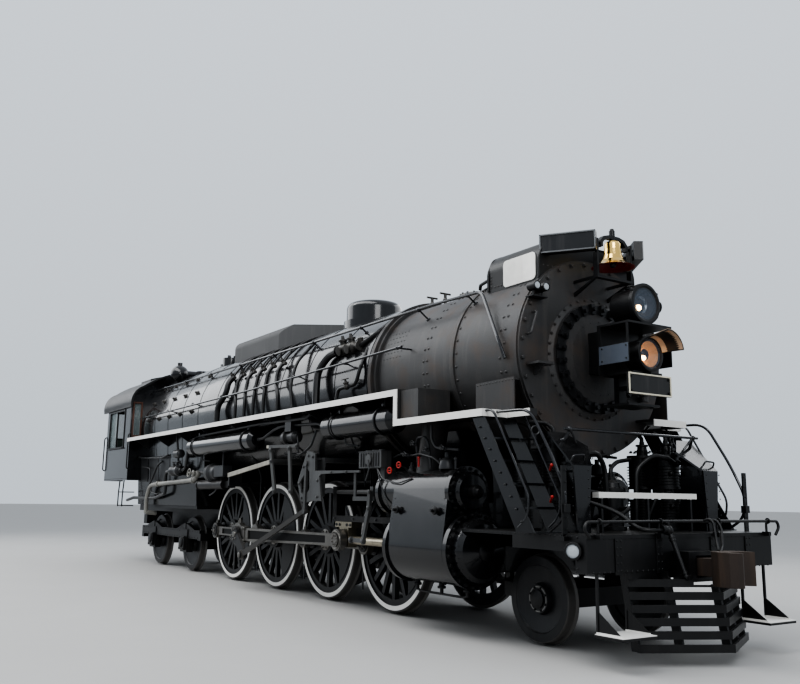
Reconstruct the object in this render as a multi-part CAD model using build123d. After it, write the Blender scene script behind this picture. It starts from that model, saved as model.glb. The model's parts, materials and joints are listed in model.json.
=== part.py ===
"""A steam locomotive of the 2-8-4 wheel arrangement, without its tender, at its real size.

Frame: millimetres. +X is forward, +Z up, and the engineer's right-hand side is -Y.
The origin is under the middle of the engine, at the level of the wheels' flange tips.
The line over a table names its columns.
"""
import math
import os

from build123d import *

os.makedirs("parts", exist_ok=True)

# Wheels and their places.
FLANGE_DEPTH = 28.0
DRIVER_R = 876.0
LEAD_R = 457.0
TRAILER_R = 546.0
DRIVER_PITCH = 1854.0
DRIVER_COUNT = 4
DRIVER_1_X = 3800.0
LEAD_X = 6720.0
TRAILER_X = (-4000.0, -6080.0)
TYRE_BACK_Y = 680.0
TYRE_FACE_Y = 820.0
STROKE = 864.0

# Running clearances, the overrun of a cut past a face, and the gap between pieces that only pass each other.
JOURNAL_GAP = 0.08
PIN_GAP = 0.08
CUT = 10.0
SIDE_GAP = 2.0

# Heights of the axles over the flange tips.
DRIVER_Z = FLANGE_DEPTH + DRIVER_R
LEAD_Z = FLANGE_DEPTH + LEAD_R
TRAILER_Z = FLANGE_DEPTH + TRAILER_R
DRIVER_XS = [DRIVER_1_X - DRIVER_PITCH * n for n in range(DRIVER_COUNT)]
MAIN = 2
MAIN_X = DRIVER_XS[MAIN]
CRANK = STROKE / 2
SIDES = (-1, 1)
# The crank pins' directions in X and Z: the right ones lie behind the axle, the left ones below it.
CRANK_DIR = {-1: (-1.0, 0.0), 1: (0.0, -1.0)}

# Planes of the motion, as distances from the engine's centre plane.
SIDE_ROD_Y = (930.0, 1030.0)
MAIN_ROD_Y = (1250.0, 1350.0)
RETURN_CRANK_Y = (1362.0, 1412.0)
ECC_ROD_Y = (1430.0, 1480.0)
CYLINDER_Y = 1150.0
CYLINDER_Z = 960.0
WRIST_X = 3150.0
PIN_R = 80.0
MAIN_PIN_R = 105.0

# Boiler.
BOILER_Z = 3200.0
SMOKEBOX_X = (5600.0, 6800.0)
SMOKEBOX_R = 1150.0
BARREL_R = 1118.0
JACKET_X = (-2400.0, 3700.0)
JACKET_R = (1290.0, 1200.0)
JACKET_Z = (3120.0, 3200.0)
FIREBOX_X = (-6750.0, -2850.0)
FIREBOX_TAPER = 105.0
THROAT_DROP = 1215.0
MUD_RING_Z = 1350.0
DOOR_R = 640.0
DOOR_Z = 3170.0
CROWN_Z = JACKET_Z[0] + JACKET_R[0]
SMOKEBOX_TOP_Z = BOILER_Z + SMOKEBOX_R

# Cab: its walls, and its roof as two round shoulders and a flatter crown.
CAB_X = (-8500.0, -6500.0)
CAB_HALF = 1560.0
CAB_WALL = 40.0
CAB_SILL_Z = 1900.0
CAB_FLOOR_Z = 2100.0
CAB_EAVE_Z = 3650.0
SHOULDER_IN = 270.0
SHOULDER_RISE = 475.0
SHOULDER_BULGE = (45.0, 275.0)
CROWN_RISE = 435.0
ROOF_X = (-8800.0, -6400.0)
ROOF_THICK = 36.0

# Running boards, deck and ends.
BOARD_HALF = 1600.0
BOARD_IN_Y = 900.0
BOARD_EDGE = 14.0
BOARD_THICK = 30.0
BOARD_DEPTH = 80.0
BOARD_Z = 2870.0
BOARD_LOW_Z = 2495.0
BOARD_STEP_X = 5080.0
BOARD_FRONT_X = 6740.0
DECK_X = (6150.0, 8060.0)
DECK_Z = 1215.0
DECK_HALF = 1420.0
DECK_THICK = 36.0
BEAM_X = (7900.0, 8050.0)
BEAM_DEPTH = 350.0
COUPLER_TIP_X = 8800.0
COUPLER_Z = 905.0

# Frame bars, as distances from the centre plane and heights.
FRAME_Y = (480.0, 600.0)
FRAME_X = (-2500.0, 5000.0)
FRAME_Z = (640.0, 1290.0)
REAR_FRAME_X = (-8500.0, -2300.0)
REAR_FRAME_Z = (1190.0, 1340.0)
FRONT_FRAME_X = (4900.0, 7900.0)
FRONT_FRAME_Z = (1000.0, 1175.0)


def block(x, y, z):
    """A box from its low and high X, Y and Z."""
    at = [(a + b) / 2 for a, b in (x, y, z)]
    return Pos(*at) * Box(*[abs(b - a) for a, b in (x, y, z)])


def rod_x(r, x, y, z):
    """A round bar along X."""
    return Pos((x[0] + x[1]) / 2, y, z) * Rot(0, 90, 0) * Cylinder(r, abs(x[1] - x[0]))


def rod_y(r, x, y, z):
    """A round bar along Y."""
    return Pos(x, (y[0] + y[1]) / 2, z) * Rot(90, 0, 0) * Cylinder(r, abs(y[1] - y[0]))


def rod_z(r, x, y, z):
    """A round bar along Z."""
    return Pos(x, y, (z[0] + z[1]) / 2) * Cylinder(r, abs(z[1] - z[0]))


def plate_xz(points, y):
    """A flat plate with this outline in X and Z, from one Y to another."""
    face = make_face(Polyline(*[(px, 0, pz) for px, pz in points], close=True))
    low, high = min(y), max(y)
    return Pos(0, low, 0) * extrude(face, high - low, dir=(0, 1, 0))


def plate_yz(points, x):
    """A flat plate with this outline in Y and Z, from one X to another."""
    face = make_face(Polyline(*[(0, py, pz) for py, pz in points], close=True))
    low, high = min(x), max(x)
    return Pos(low, 0, 0) * extrude(face, high - low, dir=(1, 0, 0))


def plate_xy(points, z):
    """A flat plate with this outline in X and Y, from one Z to another."""
    face = make_face(Polyline(*[(px, py, 0) for px, py in points], close=True))
    low, high = min(z), max(z)
    return Pos(0, 0, low) * extrude(face, high - low, dir=(0, 0, 1))


def along_x(face, x):
    """A face in the Y and Z plane, drawn out from one X to another."""
    return Pos(min(x), 0, 0) * extrude(face, abs(x[1] - x[0]), dir=(1, 0, 0))


def span(side, y):
    """Low and high Y of something that lies between two distances from the centre plane."""
    return (side * y[0], side * y[1])


def about(middle, half):
    """Low and high of something that reaches this far on both sides of its middle."""
    return (middle - half, middle + half)


def from_end(end, reach):
    """Low and high of something that goes from an end by this much."""
    return (min(end, end + reach), max(end, end + reach))


def tube(points, r, bend):
    """A round bar through these points, with its corners rounded."""
    path = FilletPolyline(*points, radius=bend) if len(points) > 2 else Line(*points)
    return sweep((path ^ 0) * Circle(r), path=path)


def spin(points, x=0, z=0):
    """A turned solid about Y from its outline of radius and Y."""
    face = make_face(Polyline(*[(r, y, 0) for r, y in points], close=True))
    return Pos(x, 0, z) * revolve(face, Axis.Y)


def spin_x(points, y=0, z=0):
    """A turned solid about X from its outline of X and radius."""
    face = make_face(Polyline(*[(px, r, 0) for px, r in points], close=True))
    return Pos(0, y, z) * revolve(face, Axis.X)


def turned_end(end, way, table, y, z):
    """A cover on a cylinder's end. The table has its columns: distance out from the end, radius."""
    points = [(end, 0)] + [(end + way * out, r) for out, r in table]
    return spin_x(points + [(end + way * table[-1][0], 0)], y, z)


def side_hole(r, x, z):
    """A hole's round cut right through the engine along Y."""
    return rod_y(r, x, about(0, BOARD_HALF + BOARD_THICK), z)


def bar_between(a, b, half_a, half_b, y):
    """A tapered bar in X and Z between two points."""
    length = math.hypot(b[0] - a[0], b[1] - a[1])
    nx, nz = -(b[1] - a[1]) / length, (b[0] - a[0]) / length
    points = [(a[0] + nx * half_a, a[1] + nz * half_a), (b[0] + nx * half_b, b[1] + nz * half_b),
              (b[0] - nx * half_b, b[1] - nz * half_b), (a[0] - nx * half_a, a[1] - nz * half_a)]
    return plate_xz(points, y)


def total(solids):
    """The union of these solids."""
    body = solids[0]
    for s in solids[1:]:
        body += s
    return body


def biggest(body):
    """The largest solid of a body that a cut may have split."""
    return max(body.solids(), key=lambda part: part.volume)


def shoulder_face(half, foot, top, corner):
    """An outline in Y and Z with upright sides, a flat top and two round shoulders."""
    low = top - corner
    near = corner * (1 - math.sqrt(0.5))
    return make_face([
        Line((0, -half, foot), (0, -half, low)),
        ThreePointArc((0, -half, low), (0, near - half, top - near), (0, corner - half, top)),
        Line((0, corner - half, top), (0, half - corner, top)),
        ThreePointArc((0, half - corner, top), (0, half - near, top - near), (0, half, low)),
        Line((0, half, low), (0, half, foot)),
        Line((0, half, foot), (0, -half, foot)),
    ])


def save(name, *solids):
    """Writes one node's solids as one STEP file."""
    flat = []
    for s in solids:
        flat += list(s.solids())
    for s in flat:
        assert s.is_valid, name
    export_step(Compound(children=flat) if len(flat) > 1 else flat[0], f"parts/{name}.step")


# Wheels: sizes of the tyres and of the spoked centres.
TYRE_WIDTH = TYRE_FACE_Y - TYRE_BACK_Y
TYRE_DEPTH = 84.0
TYRE_LAP = 4.0
RIM_DEPTH = 80.0
RIM_Y = (700.0, 804.0)
WEB_Y = (722.0, 792.0)
HUB_R = 210.0
HUB_Y = (672.0, 850.0)
SPOKES = 16
SPOKE_WIDTH = 68.0
SPOKE_FLARE = 16.0
SPOKE_ROOT = 45.0
AXLE_R = {False: 130.0, True: 150.0}
AXLE_HALF = 700.0
# Weights opposite the pins: the chord's distance from the axle, in the plain sets and in the main one.
WEIGHT_CHORD = {False: 380.0, True: 250.0}
WEIGHT_LAP = 10.0
WEIGHT_Y = (710.0, 812.0)
BOSS_OVER_PIN = 75.0
BOSS_END_Y = 865.0
ARM_OVER_PIN = 60.0
ARM_IN_HUB = 20.0
ARM_END_Y = 845.0
COLLAR_OVER_PIN = 30.0
COLLAR_START_Y = 860.0
CAP_OVER_PIN = 26.0
CAP_Y = (SIDE_ROD_Y[1] + 1, SIDE_ROD_Y[1] + 14)
# Outline of a tyre: height over the tread, distance from the tyre's back.
TREAD = [(12.0, 0.0), (FLANGE_DEPTH, 10.0), (FLANGE_DEPTH, 18.0), (4.0, 36.0), (0.0, 50.0),
         (-3.0, TYRE_WIDTH - 14.0), (-12.0, TYRE_WIDTH)]


def tyre(r, inner_r, side):
    """A flanged tyre about the origin."""
    outline = [(inner_r, TYRE_BACK_Y)] + [(r + up, TYRE_BACK_Y + out) for up, out in TREAD] + [(inner_r, TYRE_FACE_Y)]
    return spin([(radius, side * y) for radius, y in outline])


def spoke_gaps(inner_r, outer_r):
    """The openings between a driving wheel's spokes, as outlines in X and Z."""
    step = 2 * math.pi / SPOKES
    gaps = []
    for n in range(SPOKES):
        mid = (n + 0.5) * step
        corners = []
        for r, width, way in ((inner_r, SPOKE_WIDTH + SPOKE_FLARE, -1), (outer_r, SPOKE_WIDTH, -1),
                              (outer_r, SPOKE_WIDTH, 1), (inner_r, SPOKE_WIDTH + SPOKE_FLARE, 1)):
            a = mid + way * (step / 2 - width / 2 / r)
            corners.append((r * math.cos(a), r * math.sin(a)))
        gaps.append(corners)
    return gaps


def driver_wheel(side, main):
    """One spoked driving wheel about the origin, with its balance weight, crank boss, crank arm and collar."""
    rim_r = DRIVER_R - TYRE_DEPTH
    spoke_r = rim_r - RIM_DEPTH
    pin_r = MAIN_PIN_R if main else PIN_R
    cx, cz = CRANK_DIR[side]
    px, pz = -cz, cx
    web = rod_y(spoke_r + TYRE_LAP, 0, span(side, WEB_Y), 0)
    for gap in spoke_gaps(HUB_R + SPOKE_ROOT, spoke_r):
        web -= plate_xz(gap, span(side, (WEB_Y[0] - CUT, WEB_Y[1] + CUT)))
    rim = rod_y(rim_r, 0, span(side, RIM_Y), 0) - rod_y(spoke_r, 0, span(side, (RIM_Y[0] - CUT, RIM_Y[1] + CUT)), 0)
    weight_r = spoke_r + WEIGHT_LAP
    keep = Rot(0, math.degrees(math.atan2(cz, -cx)), 0) * block(
        (WEIGHT_CHORD[main], weight_r + CUT), about(0, TYRE_FACE_Y + CUT), about(0, weight_r + CUT))
    weight = rod_y(weight_r, 0, span(side, WEIGHT_Y), 0) & keep
    half_hub, half_pin = HUB_R - ARM_IN_HUB, pin_r + ARM_OVER_PIN
    arm = plate_xz([(px * half_hub, pz * half_hub), (cx * CRANK + px * half_pin, cz * CRANK + pz * half_pin),
                    (cx * CRANK - px * half_pin, cz * CRANK - pz * half_pin), (-px * half_hub, -pz * half_hub)],
                   span(side, (WEB_Y[0], ARM_END_Y)))
    wheel = tyre(DRIVER_R, rim_r - TYRE_LAP, side) + rim + web + rod_y(HUB_R, 0, span(side, HUB_Y), 0) + weight + arm
    wheel += rod_y(pin_r + BOSS_OVER_PIN, cx * CRANK, span(side, (WEB_Y[0], BOSS_END_Y)), cz * CRANK)
    wheel += rod_y(pin_r + COLLAR_OVER_PIN, cx * CRANK, span(side, (COLLAR_START_Y, SIDE_ROD_Y[0] - SIDE_GAP)), cz * CRANK)
    end_y = RETURN_CRANK_Y[1] if main else CAP_Y[1]
    return wheel + rod_y(pin_r, cx * CRANK, span(side, (ARM_END_Y, end_y)), cz * CRANK)


# Return cranks on the main pins: where their own pins are from the axle, and their arms' sizes at both ends.
RETURN_PIN = {-1: (440.0 - CRANK, -320.0), 1: (320.0, 440.0 - CRANK)}
RETURN_PIN_R = 45.0
RETURN_ARM_HALF = (110.0, 60.0)
RETURN_BOSS_R = (135.0, 72.0)
RETURN_CAP_OVER_PIN = 16.0


def return_crank(side):
    """The small crank on the end of a main pin, with the pin that drives the valve gear."""
    ax, az = CRANK_DIR[side][0] * CRANK, CRANK_DIR[side][1] * CRANK
    bx, bz = RETURN_PIN[side]
    y = span(side, RETURN_CRANK_Y)
    arm = bar_between((ax, az), (bx, bz), *RETURN_ARM_HALF, y)
    ends = rod_y(RETURN_BOSS_R[0], ax, y, az) + rod_y(RETURN_BOSS_R[1], bx, y, bz)
    pin = rod_y(RETURN_PIN_R, bx, span(side, (RETURN_CRANK_Y[0], ECC_ROD_Y[1] + CUT)), bz)
    cap = rod_y(RETURN_PIN_R + RETURN_CAP_OVER_PIN, bx, span(side, (ECC_ROD_Y[1] + 1, ECC_ROD_Y[1] + CUT + SIDE_GAP)), bz)
    return arm + ends + pin + cap


def driver_set(n):
    """Axle, two wheels and pins of one driving axle. The main one has the long pins and the return cranks."""
    main = n == MAIN
    body = rod_y(AXLE_R[main], 0, about(0, AXLE_HALF), 0)
    for side in SIDES:
        body += driver_wheel(side, main)
        if main:
            body += return_crank(side)
        else:
            cx, cz = CRANK_DIR[side]
            body += rod_y(PIN_R + CAP_OVER_PIN, cx * CRANK, span(side, CAP_Y), cz * CRANK)
    return Pos(DRIVER_XS[n], 0, DRIVER_Z) * body


# Plain disc wheels of the trucks. Their outline: radius from the centre or back from the tread, then Y.
PLAIN_HUB_R = 150.0
PLAIN_TYRE_DEPTH = 90.0
PLAIN_HUB_Y = (690.0, 830.0)
PLAIN_WEB = [(165.0, 720.0), (-20.0, 700.0), (0.0, TYRE_BACK_Y), (0.0, TYRE_FACE_Y), (-20.0, 800.0), (170.0, 770.0)]
LEAD_AXLE_R = 85.0
LEAD_END_Y = 700.0
TRAILER_AXLE_R = 95.0
TRAILER_END_Y = 1000.0


def plain_set(r, axle_x, axle_z, axle_r, end_y):
    """A truck's axle with two plain disc wheels."""
    rim = r - PLAIN_TYRE_DEPTH
    body = rod_y(axle_r, 0, about(0, end_y), 0)
    for side in SIDES:
        outline = [(0, PLAIN_HUB_Y[0]), (PLAIN_HUB_R, PLAIN_HUB_Y[0])]
        outline += [(radius if radius > 0 else rim + radius, y) for radius, y in PLAIN_WEB]
        outline += [(PLAIN_HUB_R, PLAIN_HUB_Y[1]), (0, PLAIN_HUB_Y[1])]
        body += spin([(radius, side * y) for radius, y in outline]) + tyre(r, rim - TYRE_LAP, side)
    return Pos(axle_x, 0, axle_z) * body


for n in range(DRIVER_COUNT):
    save(f"driver_wheels_{n + 1}", driver_set(n))
save("lead_wheels", plain_set(LEAD_R, LEAD_X, LEAD_Z, LEAD_AXLE_R, LEAD_END_Y))
for n, x in enumerate(TRAILER_X):
    save(f"trailing_wheels_{n + 1}", plain_set(TRAILER_R, x, TRAILER_Z, TRAILER_AXLE_R, TRAILER_END_Y))

# Rods: half heights, thicknesses, flutes and eyes.
SIDE_BAR_HALF = 78.0
SIDE_BAR_THICK = 68.0
SIDE_FLUTE_HALF = 46.0
SIDE_FLUTE_INSET = 330.0
SIDE_EYE_OVER_PIN = 62.0
FLUTE_DEPTH = 18.0
MAIN_BAR_HALF = (112.0, 82.0)
MAIN_BAR_THICK = 76.0
MAIN_FLUTE_HALF = (70.0, 50.0)
MAIN_FLUTE_INSET = (420.0, 330.0)
MAIN_EYE_OVER_PIN = 95.0
MAIN_STRAP = (-60.0, 300.0)
MAIN_STRAP_HALF = (165.0, 130.0)
WRIST_EYE_R = 150.0
WRIST_CAP_R = 95.0
WRIST_CAP_END = 24.0
ECC_BAR_HALF = (42.0, 34.0)
ECC_BAR_THICK = 36.0
ECC_EYE_OVER_PIN = 34.0
ECC_FOOT_R = 58.0
# The eccentric rods' front eyes, at the foot of the valve gear.
GEAR_FOOT = (DRIVER_1_X - 1340.0, 1370.0)


def pin_at(side, n):
    """X and Z of a driver's crank pin."""
    cx, cz = CRANK_DIR[side]
    return DRIVER_XS[n] + cx * CRANK, DRIVER_Z + cz * CRANK


def side_rod(side):
    """One coupling rod over all four crank pins, with its eyes and flutes."""
    mid = sum(SIDE_ROD_Y) / 2
    pins = [pin_at(side, n) for n in range(DRIVER_COUNT)]
    bars = []
    for (ax, az), (bx, bz) in zip(pins, pins[1:]):
        bar = bar_between((ax, az), (bx, bz), SIDE_BAR_HALF, SIDE_BAR_HALF, span(side, about(mid, SIDE_BAR_THICK / 2)))
        for face in about(mid, SIDE_BAR_THICK / 2):
            bar -= bar_between((ax - SIDE_FLUTE_INSET, az), (bx + SIDE_FLUTE_INSET, bz), SIDE_FLUTE_HALF,
                               SIDE_FLUTE_HALF, span(side, about(face, FLUTE_DEPTH)))
        bars.append(bar)
    body = total(bars)
    radii = [MAIN_PIN_R if n == MAIN else PIN_R for n in range(DRIVER_COUNT)]
    for (x, z), r in zip(pins, radii):
        body += rod_y(r + SIDE_EYE_OVER_PIN, x, span(side, SIDE_ROD_Y), z)
    for (x, z), r in zip(pins, radii):
        body -= side_hole(r + PIN_GAP, x, z)
    return body


def main_rod_ends(side):
    """X and Z of the crank pin and of the wrist pin."""
    back_x, back_z = pin_at(-1, MAIN)
    length = math.hypot(WRIST_X - back_x, CYLINDER_Z - back_z)
    a = pin_at(side, MAIN)
    return a, (a[0] + math.sqrt(length ** 2 - (CYLINDER_Z - a[1]) ** 2), CYLINDER_Z)


def main_rod(side):
    """The rod from the main pin to the crosshead, with its strap and its flutes."""
    mid = sum(MAIN_ROD_Y) / 2
    a, b = main_rod_ends(side)
    slope = math.atan2(b[1] - a[1], b[0] - a[0])
    c, s = math.cos(slope), math.sin(slope)
    body = bar_between(a, b, *MAIN_BAR_HALF, span(side, about(mid, MAIN_BAR_THICK / 2)))
    p = (a[0] + MAIN_FLUTE_INSET[0] * c, a[1] + MAIN_FLUTE_INSET[0] * s)
    q = (b[0] - MAIN_FLUTE_INSET[1] * c, b[1] - MAIN_FLUTE_INSET[1] * s)
    for face in about(mid, MAIN_BAR_THICK / 2):
        body -= bar_between(p, q, *MAIN_FLUTE_HALF, span(side, about(face, FLUTE_DEPTH + SIDE_GAP)))
    strap = [(a[0] + reach * c, a[1] + reach * s) for reach in MAIN_STRAP]
    body += rod_y(MAIN_PIN_R + MAIN_EYE_OVER_PIN, a[0], span(side, MAIN_ROD_Y), a[1])
    body += bar_between(*strap, *MAIN_STRAP_HALF, span(side, MAIN_ROD_Y))
    body += rod_y(WRIST_EYE_R, b[0], span(side, MAIN_ROD_Y), b[1])
    body += rod_y(WRIST_CAP_R, b[0], span(side, (mid, MAIN_ROD_Y[1] + WRIST_CAP_END)), b[1])
    return body - side_hole(MAIN_PIN_R + PIN_GAP, a[0], a[1])


def ecc_rod(side):
    """The slim rod from the return crank to the foot of the valve gear."""
    mid = sum(ECC_ROD_Y) / 2
    a = (MAIN_X + RETURN_PIN[side][0], DRIVER_Z + RETURN_PIN[side][1])
    body = bar_between(a, GEAR_FOOT, *ECC_BAR_HALF, span(side, about(mid, ECC_BAR_THICK / 2)))
    body += rod_y(RETURN_PIN_R + ECC_EYE_OVER_PIN, a[0], span(side, ECC_ROD_Y), a[1])
    body += rod_y(ECC_FOOT_R, GEAR_FOOT[0], span(side, ECC_ROD_Y), GEAR_FOOT[1])
    return body - side_hole(RETURN_PIN_R + PIN_GAP, a[0], a[1])


for name, side in (("right", -1), ("left", 1)):
    save(f"side_rod_{name}", side_rod(side))
    save(f"main_rod_{name}", main_rod(side))
    save(f"eccentric_rod_{name}", ecc_rod(side))

# Engine frame: windows between the axle boxes, cross-members and the trailing truck's pivot.
PEDESTAL_HALF = 380.0
WINDOW_IN = (150.0, 170.0)
CROSS_X = (2870.0, 1010.0, -840.0)
CROSS_HALF = 130.0
END_CROSS = 200.0
PIVOT_X = -2620.0
PIVOT_R = 70.0
PIVOT_BOSS_R = 150.0
PIVOT_REACH = 140.0
PIVOT_HALF = 260.0
PIVOT_OVER = 30.0
TONGUE_Z = (690.0, 780.0)
TONGUE_GAP = 12.0
LEAD_PIVOT_X = 5300.0
LEAD_TONGUE_Z = (500.0, 560.0)
SADDLE_X = (4760.0, 5850.0)
SADDLE_Z = 690.0
SADDLE_STOP = 60.0

frame = []
for side in SIDES:
    bar = block(FRAME_X, span(side, FRAME_Y), FRAME_Z) + block(FRONT_FRAME_X, span(side, FRAME_Y), FRONT_FRAME_Z)
    for x in [DRIVER_XS[0] + DRIVER_PITCH / 2] + [x - DRIVER_PITCH / 2 for x in DRIVER_XS]:
        bar -= block(about(x, DRIVER_PITCH / 2 - PEDESTAL_HALF), span(side, (FRAME_Y[0] - CUT, FRAME_Y[1] + CUT)),
                     (FRAME_Z[0] + WINDOW_IN[0], FRAME_Z[1] - WINDOW_IN[1]))
    frame.append(bar)
bed = frame[0] + frame[1]
for x in CROSS_X:
    bed += block(about(x, CROSS_HALF), about(0, FRAME_Y[0]), FRAME_Z)
over_tongue = (TONGUE_Z[1] + TONGUE_GAP, FRAME_Z[1])
bed += block(from_end(FRAME_X[0], END_CROSS), about(0, FRAME_Y[1]), over_tongue)
bed += block((PIVOT_X - PIVOT_REACH, FRAME_X[0] + CUT), about(0, PIVOT_HALF), over_tongue)
bed += rod_z(PIVOT_R, PIVOT_X, 0, (TONGUE_Z[0] - PIVOT_OVER, over_tongue[0] + CUT))
for n, x in enumerate(DRIVER_XS):
    bed -= rod_y(AXLE_R[n == MAIN] + JOURNAL_GAP, x, about(0, AXLE_HALF), DRIVER_Z)
bed -= block(SADDLE_X, about(0, FRAME_Y[1] + CUT), (FRAME_Z[0] - CUT, FRAME_Z[1] + CUT))
bed += block((SADDLE_X[0] - SADDLE_STOP, SADDLE_X[0]), about(0, FRAME_Y[1]), (SADDLE_Z, FRONT_FRAME_Z[1]))
save("engine_frame", bed)

# Rear frame under the firebox and the cab, with the pocket and the pin bore that a tender's drawbar goes in.
REAR_CROSS_X = -3000.0
REAR_END_X = 250.0
REAR_END_DROP = 330.0
DRAWBAR_Z = (930.0, 1010.0)
DRAWBAR_PIN_R = 51.0
DRAWBAR_PIN_IN = 110.0
DRAWBAR_POCKET = 200.0
rear = block(from_end(REAR_FRAME_X[0], REAR_END_X), about(0, FRAME_Y[0]),
             (REAR_FRAME_Z[0] - REAR_END_DROP, REAR_FRAME_Z[1]))
rear += block((REAR_CROSS_X, PIVOT_X - PIVOT_REACH), about(0, FRAME_Y[0]), REAR_FRAME_Z)
for side in SIDES:
    rear += block((REAR_FRAME_X[0], FRAME_X[0]), span(side, FRAME_Y), REAR_FRAME_Z)
rear -= block((REAR_FRAME_X[0] - CUT, REAR_FRAME_X[0] + DRAWBAR_POCKET), about(0, PIVOT_HALF), DRAWBAR_Z)
rear -= rod_z(DRAWBAR_PIN_R, REAR_FRAME_X[0] + DRAWBAR_PIN_IN, 0,
              (REAR_FRAME_Z[0] - REAR_END_DROP - CUT, REAR_FRAME_Z[1] + CUT))
save("rear_frame", rear)

# Cylinders with their valve chests, in one smooth casing, and the saddle under the smokebox.
CYLINDER_X = (4740.0, 6060.0)
CYLINDER_R = 405.0
CHEST_X = (4400.0, 5980.0)
CHEST_Y = 1190.0
CHEST_Z = 1620.0
CHEST_R = 270.0
CASE_X = (4810.0, 5950.0)
END_RING = 70.0
END_LIP = 26.0
SADDLE_HALF = (690.0, 720.0, 820.0)
SADDLE_WAIST_Z = 1750.0
SADDLE_TOP_Z = 2440.0
SADDLE_OUT_Y = (600.0, 1000.0)
SADDLE_OUT_Z = (760.0, 1500.0)
PIVOT_TOP_Z = 700.0
# Covers: distance out from the end, radius.
CYLINDER_FRONT = [(0, 360), (90, 350), (140, 300), (190, 110), (190, 60)]
CYLINDER_BACK = [(0, 300), (70, 290), (100, 150), (180, 110), (240, 95)]
CHEST_FRONT = [(0, 235), (50, 230), (80, 195), (80, 60)]
CHEST_BACK = [(0, 200), (70, 190), (110, 90), (200, 80)]


def casing_face(side):
    """Outline in Y and Z round a cylinder and its valve chest: two arcs with straight sides."""
    dy, dz = CHEST_Y - CYLINDER_Y, CHEST_Z - CYLINDER_Z
    reach = math.hypot(dy, dz)
    up = (dy / reach, dz / reach)
    lean = (CYLINDER_R - CHEST_R) / reach
    wide = math.sqrt(1 - lean ** 2)

    def at(middle, r, way):
        ny = way * wide * up[1] + lean * up[0]
        nz = lean * up[1] - way * wide * up[0]
        return (0, side * (middle[0] + r * ny), middle[1] + r * nz)

    low, high = (CYLINDER_Y, CYLINDER_Z), (CHEST_Y, CHEST_Z)
    top = (0, side * (high[0] + CHEST_R * up[0]), high[1] + CHEST_R * up[1])
    foot = (0, side * (low[0] - CYLINDER_R * up[0]), low[1] - CYLINDER_R * up[1])
    return make_face([
        Line(at(low, CYLINDER_R, 1), at(high, CHEST_R, 1)),
        ThreePointArc(at(high, CHEST_R, 1), top, at(high, CHEST_R, -1)),
        Line(at(high, CHEST_R, -1), at(low, CYLINDER_R, -1)),
        ThreePointArc(at(low, CYLINDER_R, -1), foot, at(low, CYLINDER_R, 1)),
    ])


smokebox_round = rod_x(SMOKEBOX_R, (SADDLE_X[0] - SADDLE_TOP_Z, SADDLE_X[1] + SADDLE_TOP_Z), 0, BOILER_Z)
saddle = plate_yz([(-SADDLE_HALF[1], SADDLE_Z), (SADDLE_HALF[1], SADDLE_Z), (SADDLE_HALF[1], SADDLE_WAIST_Z),
                   (SADDLE_HALF[2], SADDLE_TOP_Z), (-SADDLE_HALF[2], SADDLE_TOP_Z), (-SADDLE_HALF[1], SADDLE_WAIST_Z)],
                  SADDLE_X)
cylinders = saddle - smokebox_round
for side in SIDES:
    y, chest_y = side * CYLINDER_Y, side * CHEST_Y
    cast = along_x(casing_face(side), CASE_X)
    cast += rod_x(CYLINDER_R - SIDE_GAP, CYLINDER_X, y, CYLINDER_Z) + rod_x(CHEST_R - SIDE_GAP, CHEST_X, chest_y, CHEST_Z)
    for end, way in zip(CYLINDER_X, (1, -1)):
        cast += rod_x(CYLINDER_R + END_LIP, from_end(end, way * END_RING), y, CYLINDER_Z)
    for end, way in zip(CHEST_X, (1, -1)):
        cast += rod_x(CHEST_R + END_LIP, from_end(end, way * END_RING), chest_y, CHEST_Z)
    cast += turned_end(CYLINDER_X[1], 1, CYLINDER_FRONT, y, CYLINDER_Z)
    cast += turned_end(CYLINDER_X[0], -1, CYLINDER_BACK, y, CYLINDER_Z)
    cast += turned_end(CHEST_X[1], 1, CHEST_FRONT, chest_y, CHEST_Z)
    cast += turned_end(CHEST_X[0], -1, CHEST_BACK, chest_y, CHEST_Z)
    cylinders += cast + block(SADDLE_X, span(side, SADDLE_OUT_Y), SADDLE_OUT_Z)
cylinders += rod_z(PIVOT_R, LEAD_PIVOT_X, 0, (LEAD_TONGUE_Z[0] - PIVOT_OVER, PIVOT_TOP_Z))
save("cylinders", cylinders)

# Steam pipes from the smokebox down to the chests: distance from the centre plane, height.
PIPE_X = 5150.0
PIPE_R = 165.0
PIPE_BEND = 250.0
PIPE_RUN = [(700.0, 2900.0), (1060.0, 2500.0), (CHEST_Y, 1700.0)]
course = rod_x(BARREL_R, (JACKET_X[1], SMOKEBOX_X[0]), 0, BOILER_Z)
pipes = []
for side in SIDES:
    pipe = tube([(PIPE_X, side * y, z) for y, z in PIPE_RUN], PIPE_R, PIPE_BEND)
    pipes.append(pipe - smokebox_round - course - cylinders)

# Boiler: the jacketed barrel and firebox, then the bare course and the smokebox.
SMOKEBOX_RING = (40.0, 14.0)
barrel = loft([Plane.YZ.offset(x) * Pos(0, z) * Circle(r) for x, r, z in zip(JACKET_X, JACKET_R, JACKET_Z)])
half, low_half = JACKET_R[0], JACKET_R[0] - FIREBOX_TAPER
arch = make_face([
    Line((0, -low_half, MUD_RING_Z), (0, -half, JACKET_Z[0])),
    ThreePointArc((0, -half, JACKET_Z[0]), (0, 0, CROWN_Z), (0, half, JACKET_Z[0])),
    Line((0, half, JACKET_Z[0]), (0, low_half, MUD_RING_Z)),
    Line((0, low_half, MUD_RING_Z), (0, -low_half, MUD_RING_Z)),
])
firebox = along_x(arch, (FIREBOX_X[0], JACKET_X[0]))
firebox -= block((FIREBOX_X[1], JACKET_X[0] + CUT), about(0, half + CUT), (MUD_RING_Z - CUT, JACKET_Z[0] - THROAT_DROP))
boiler = barrel + firebox
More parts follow.
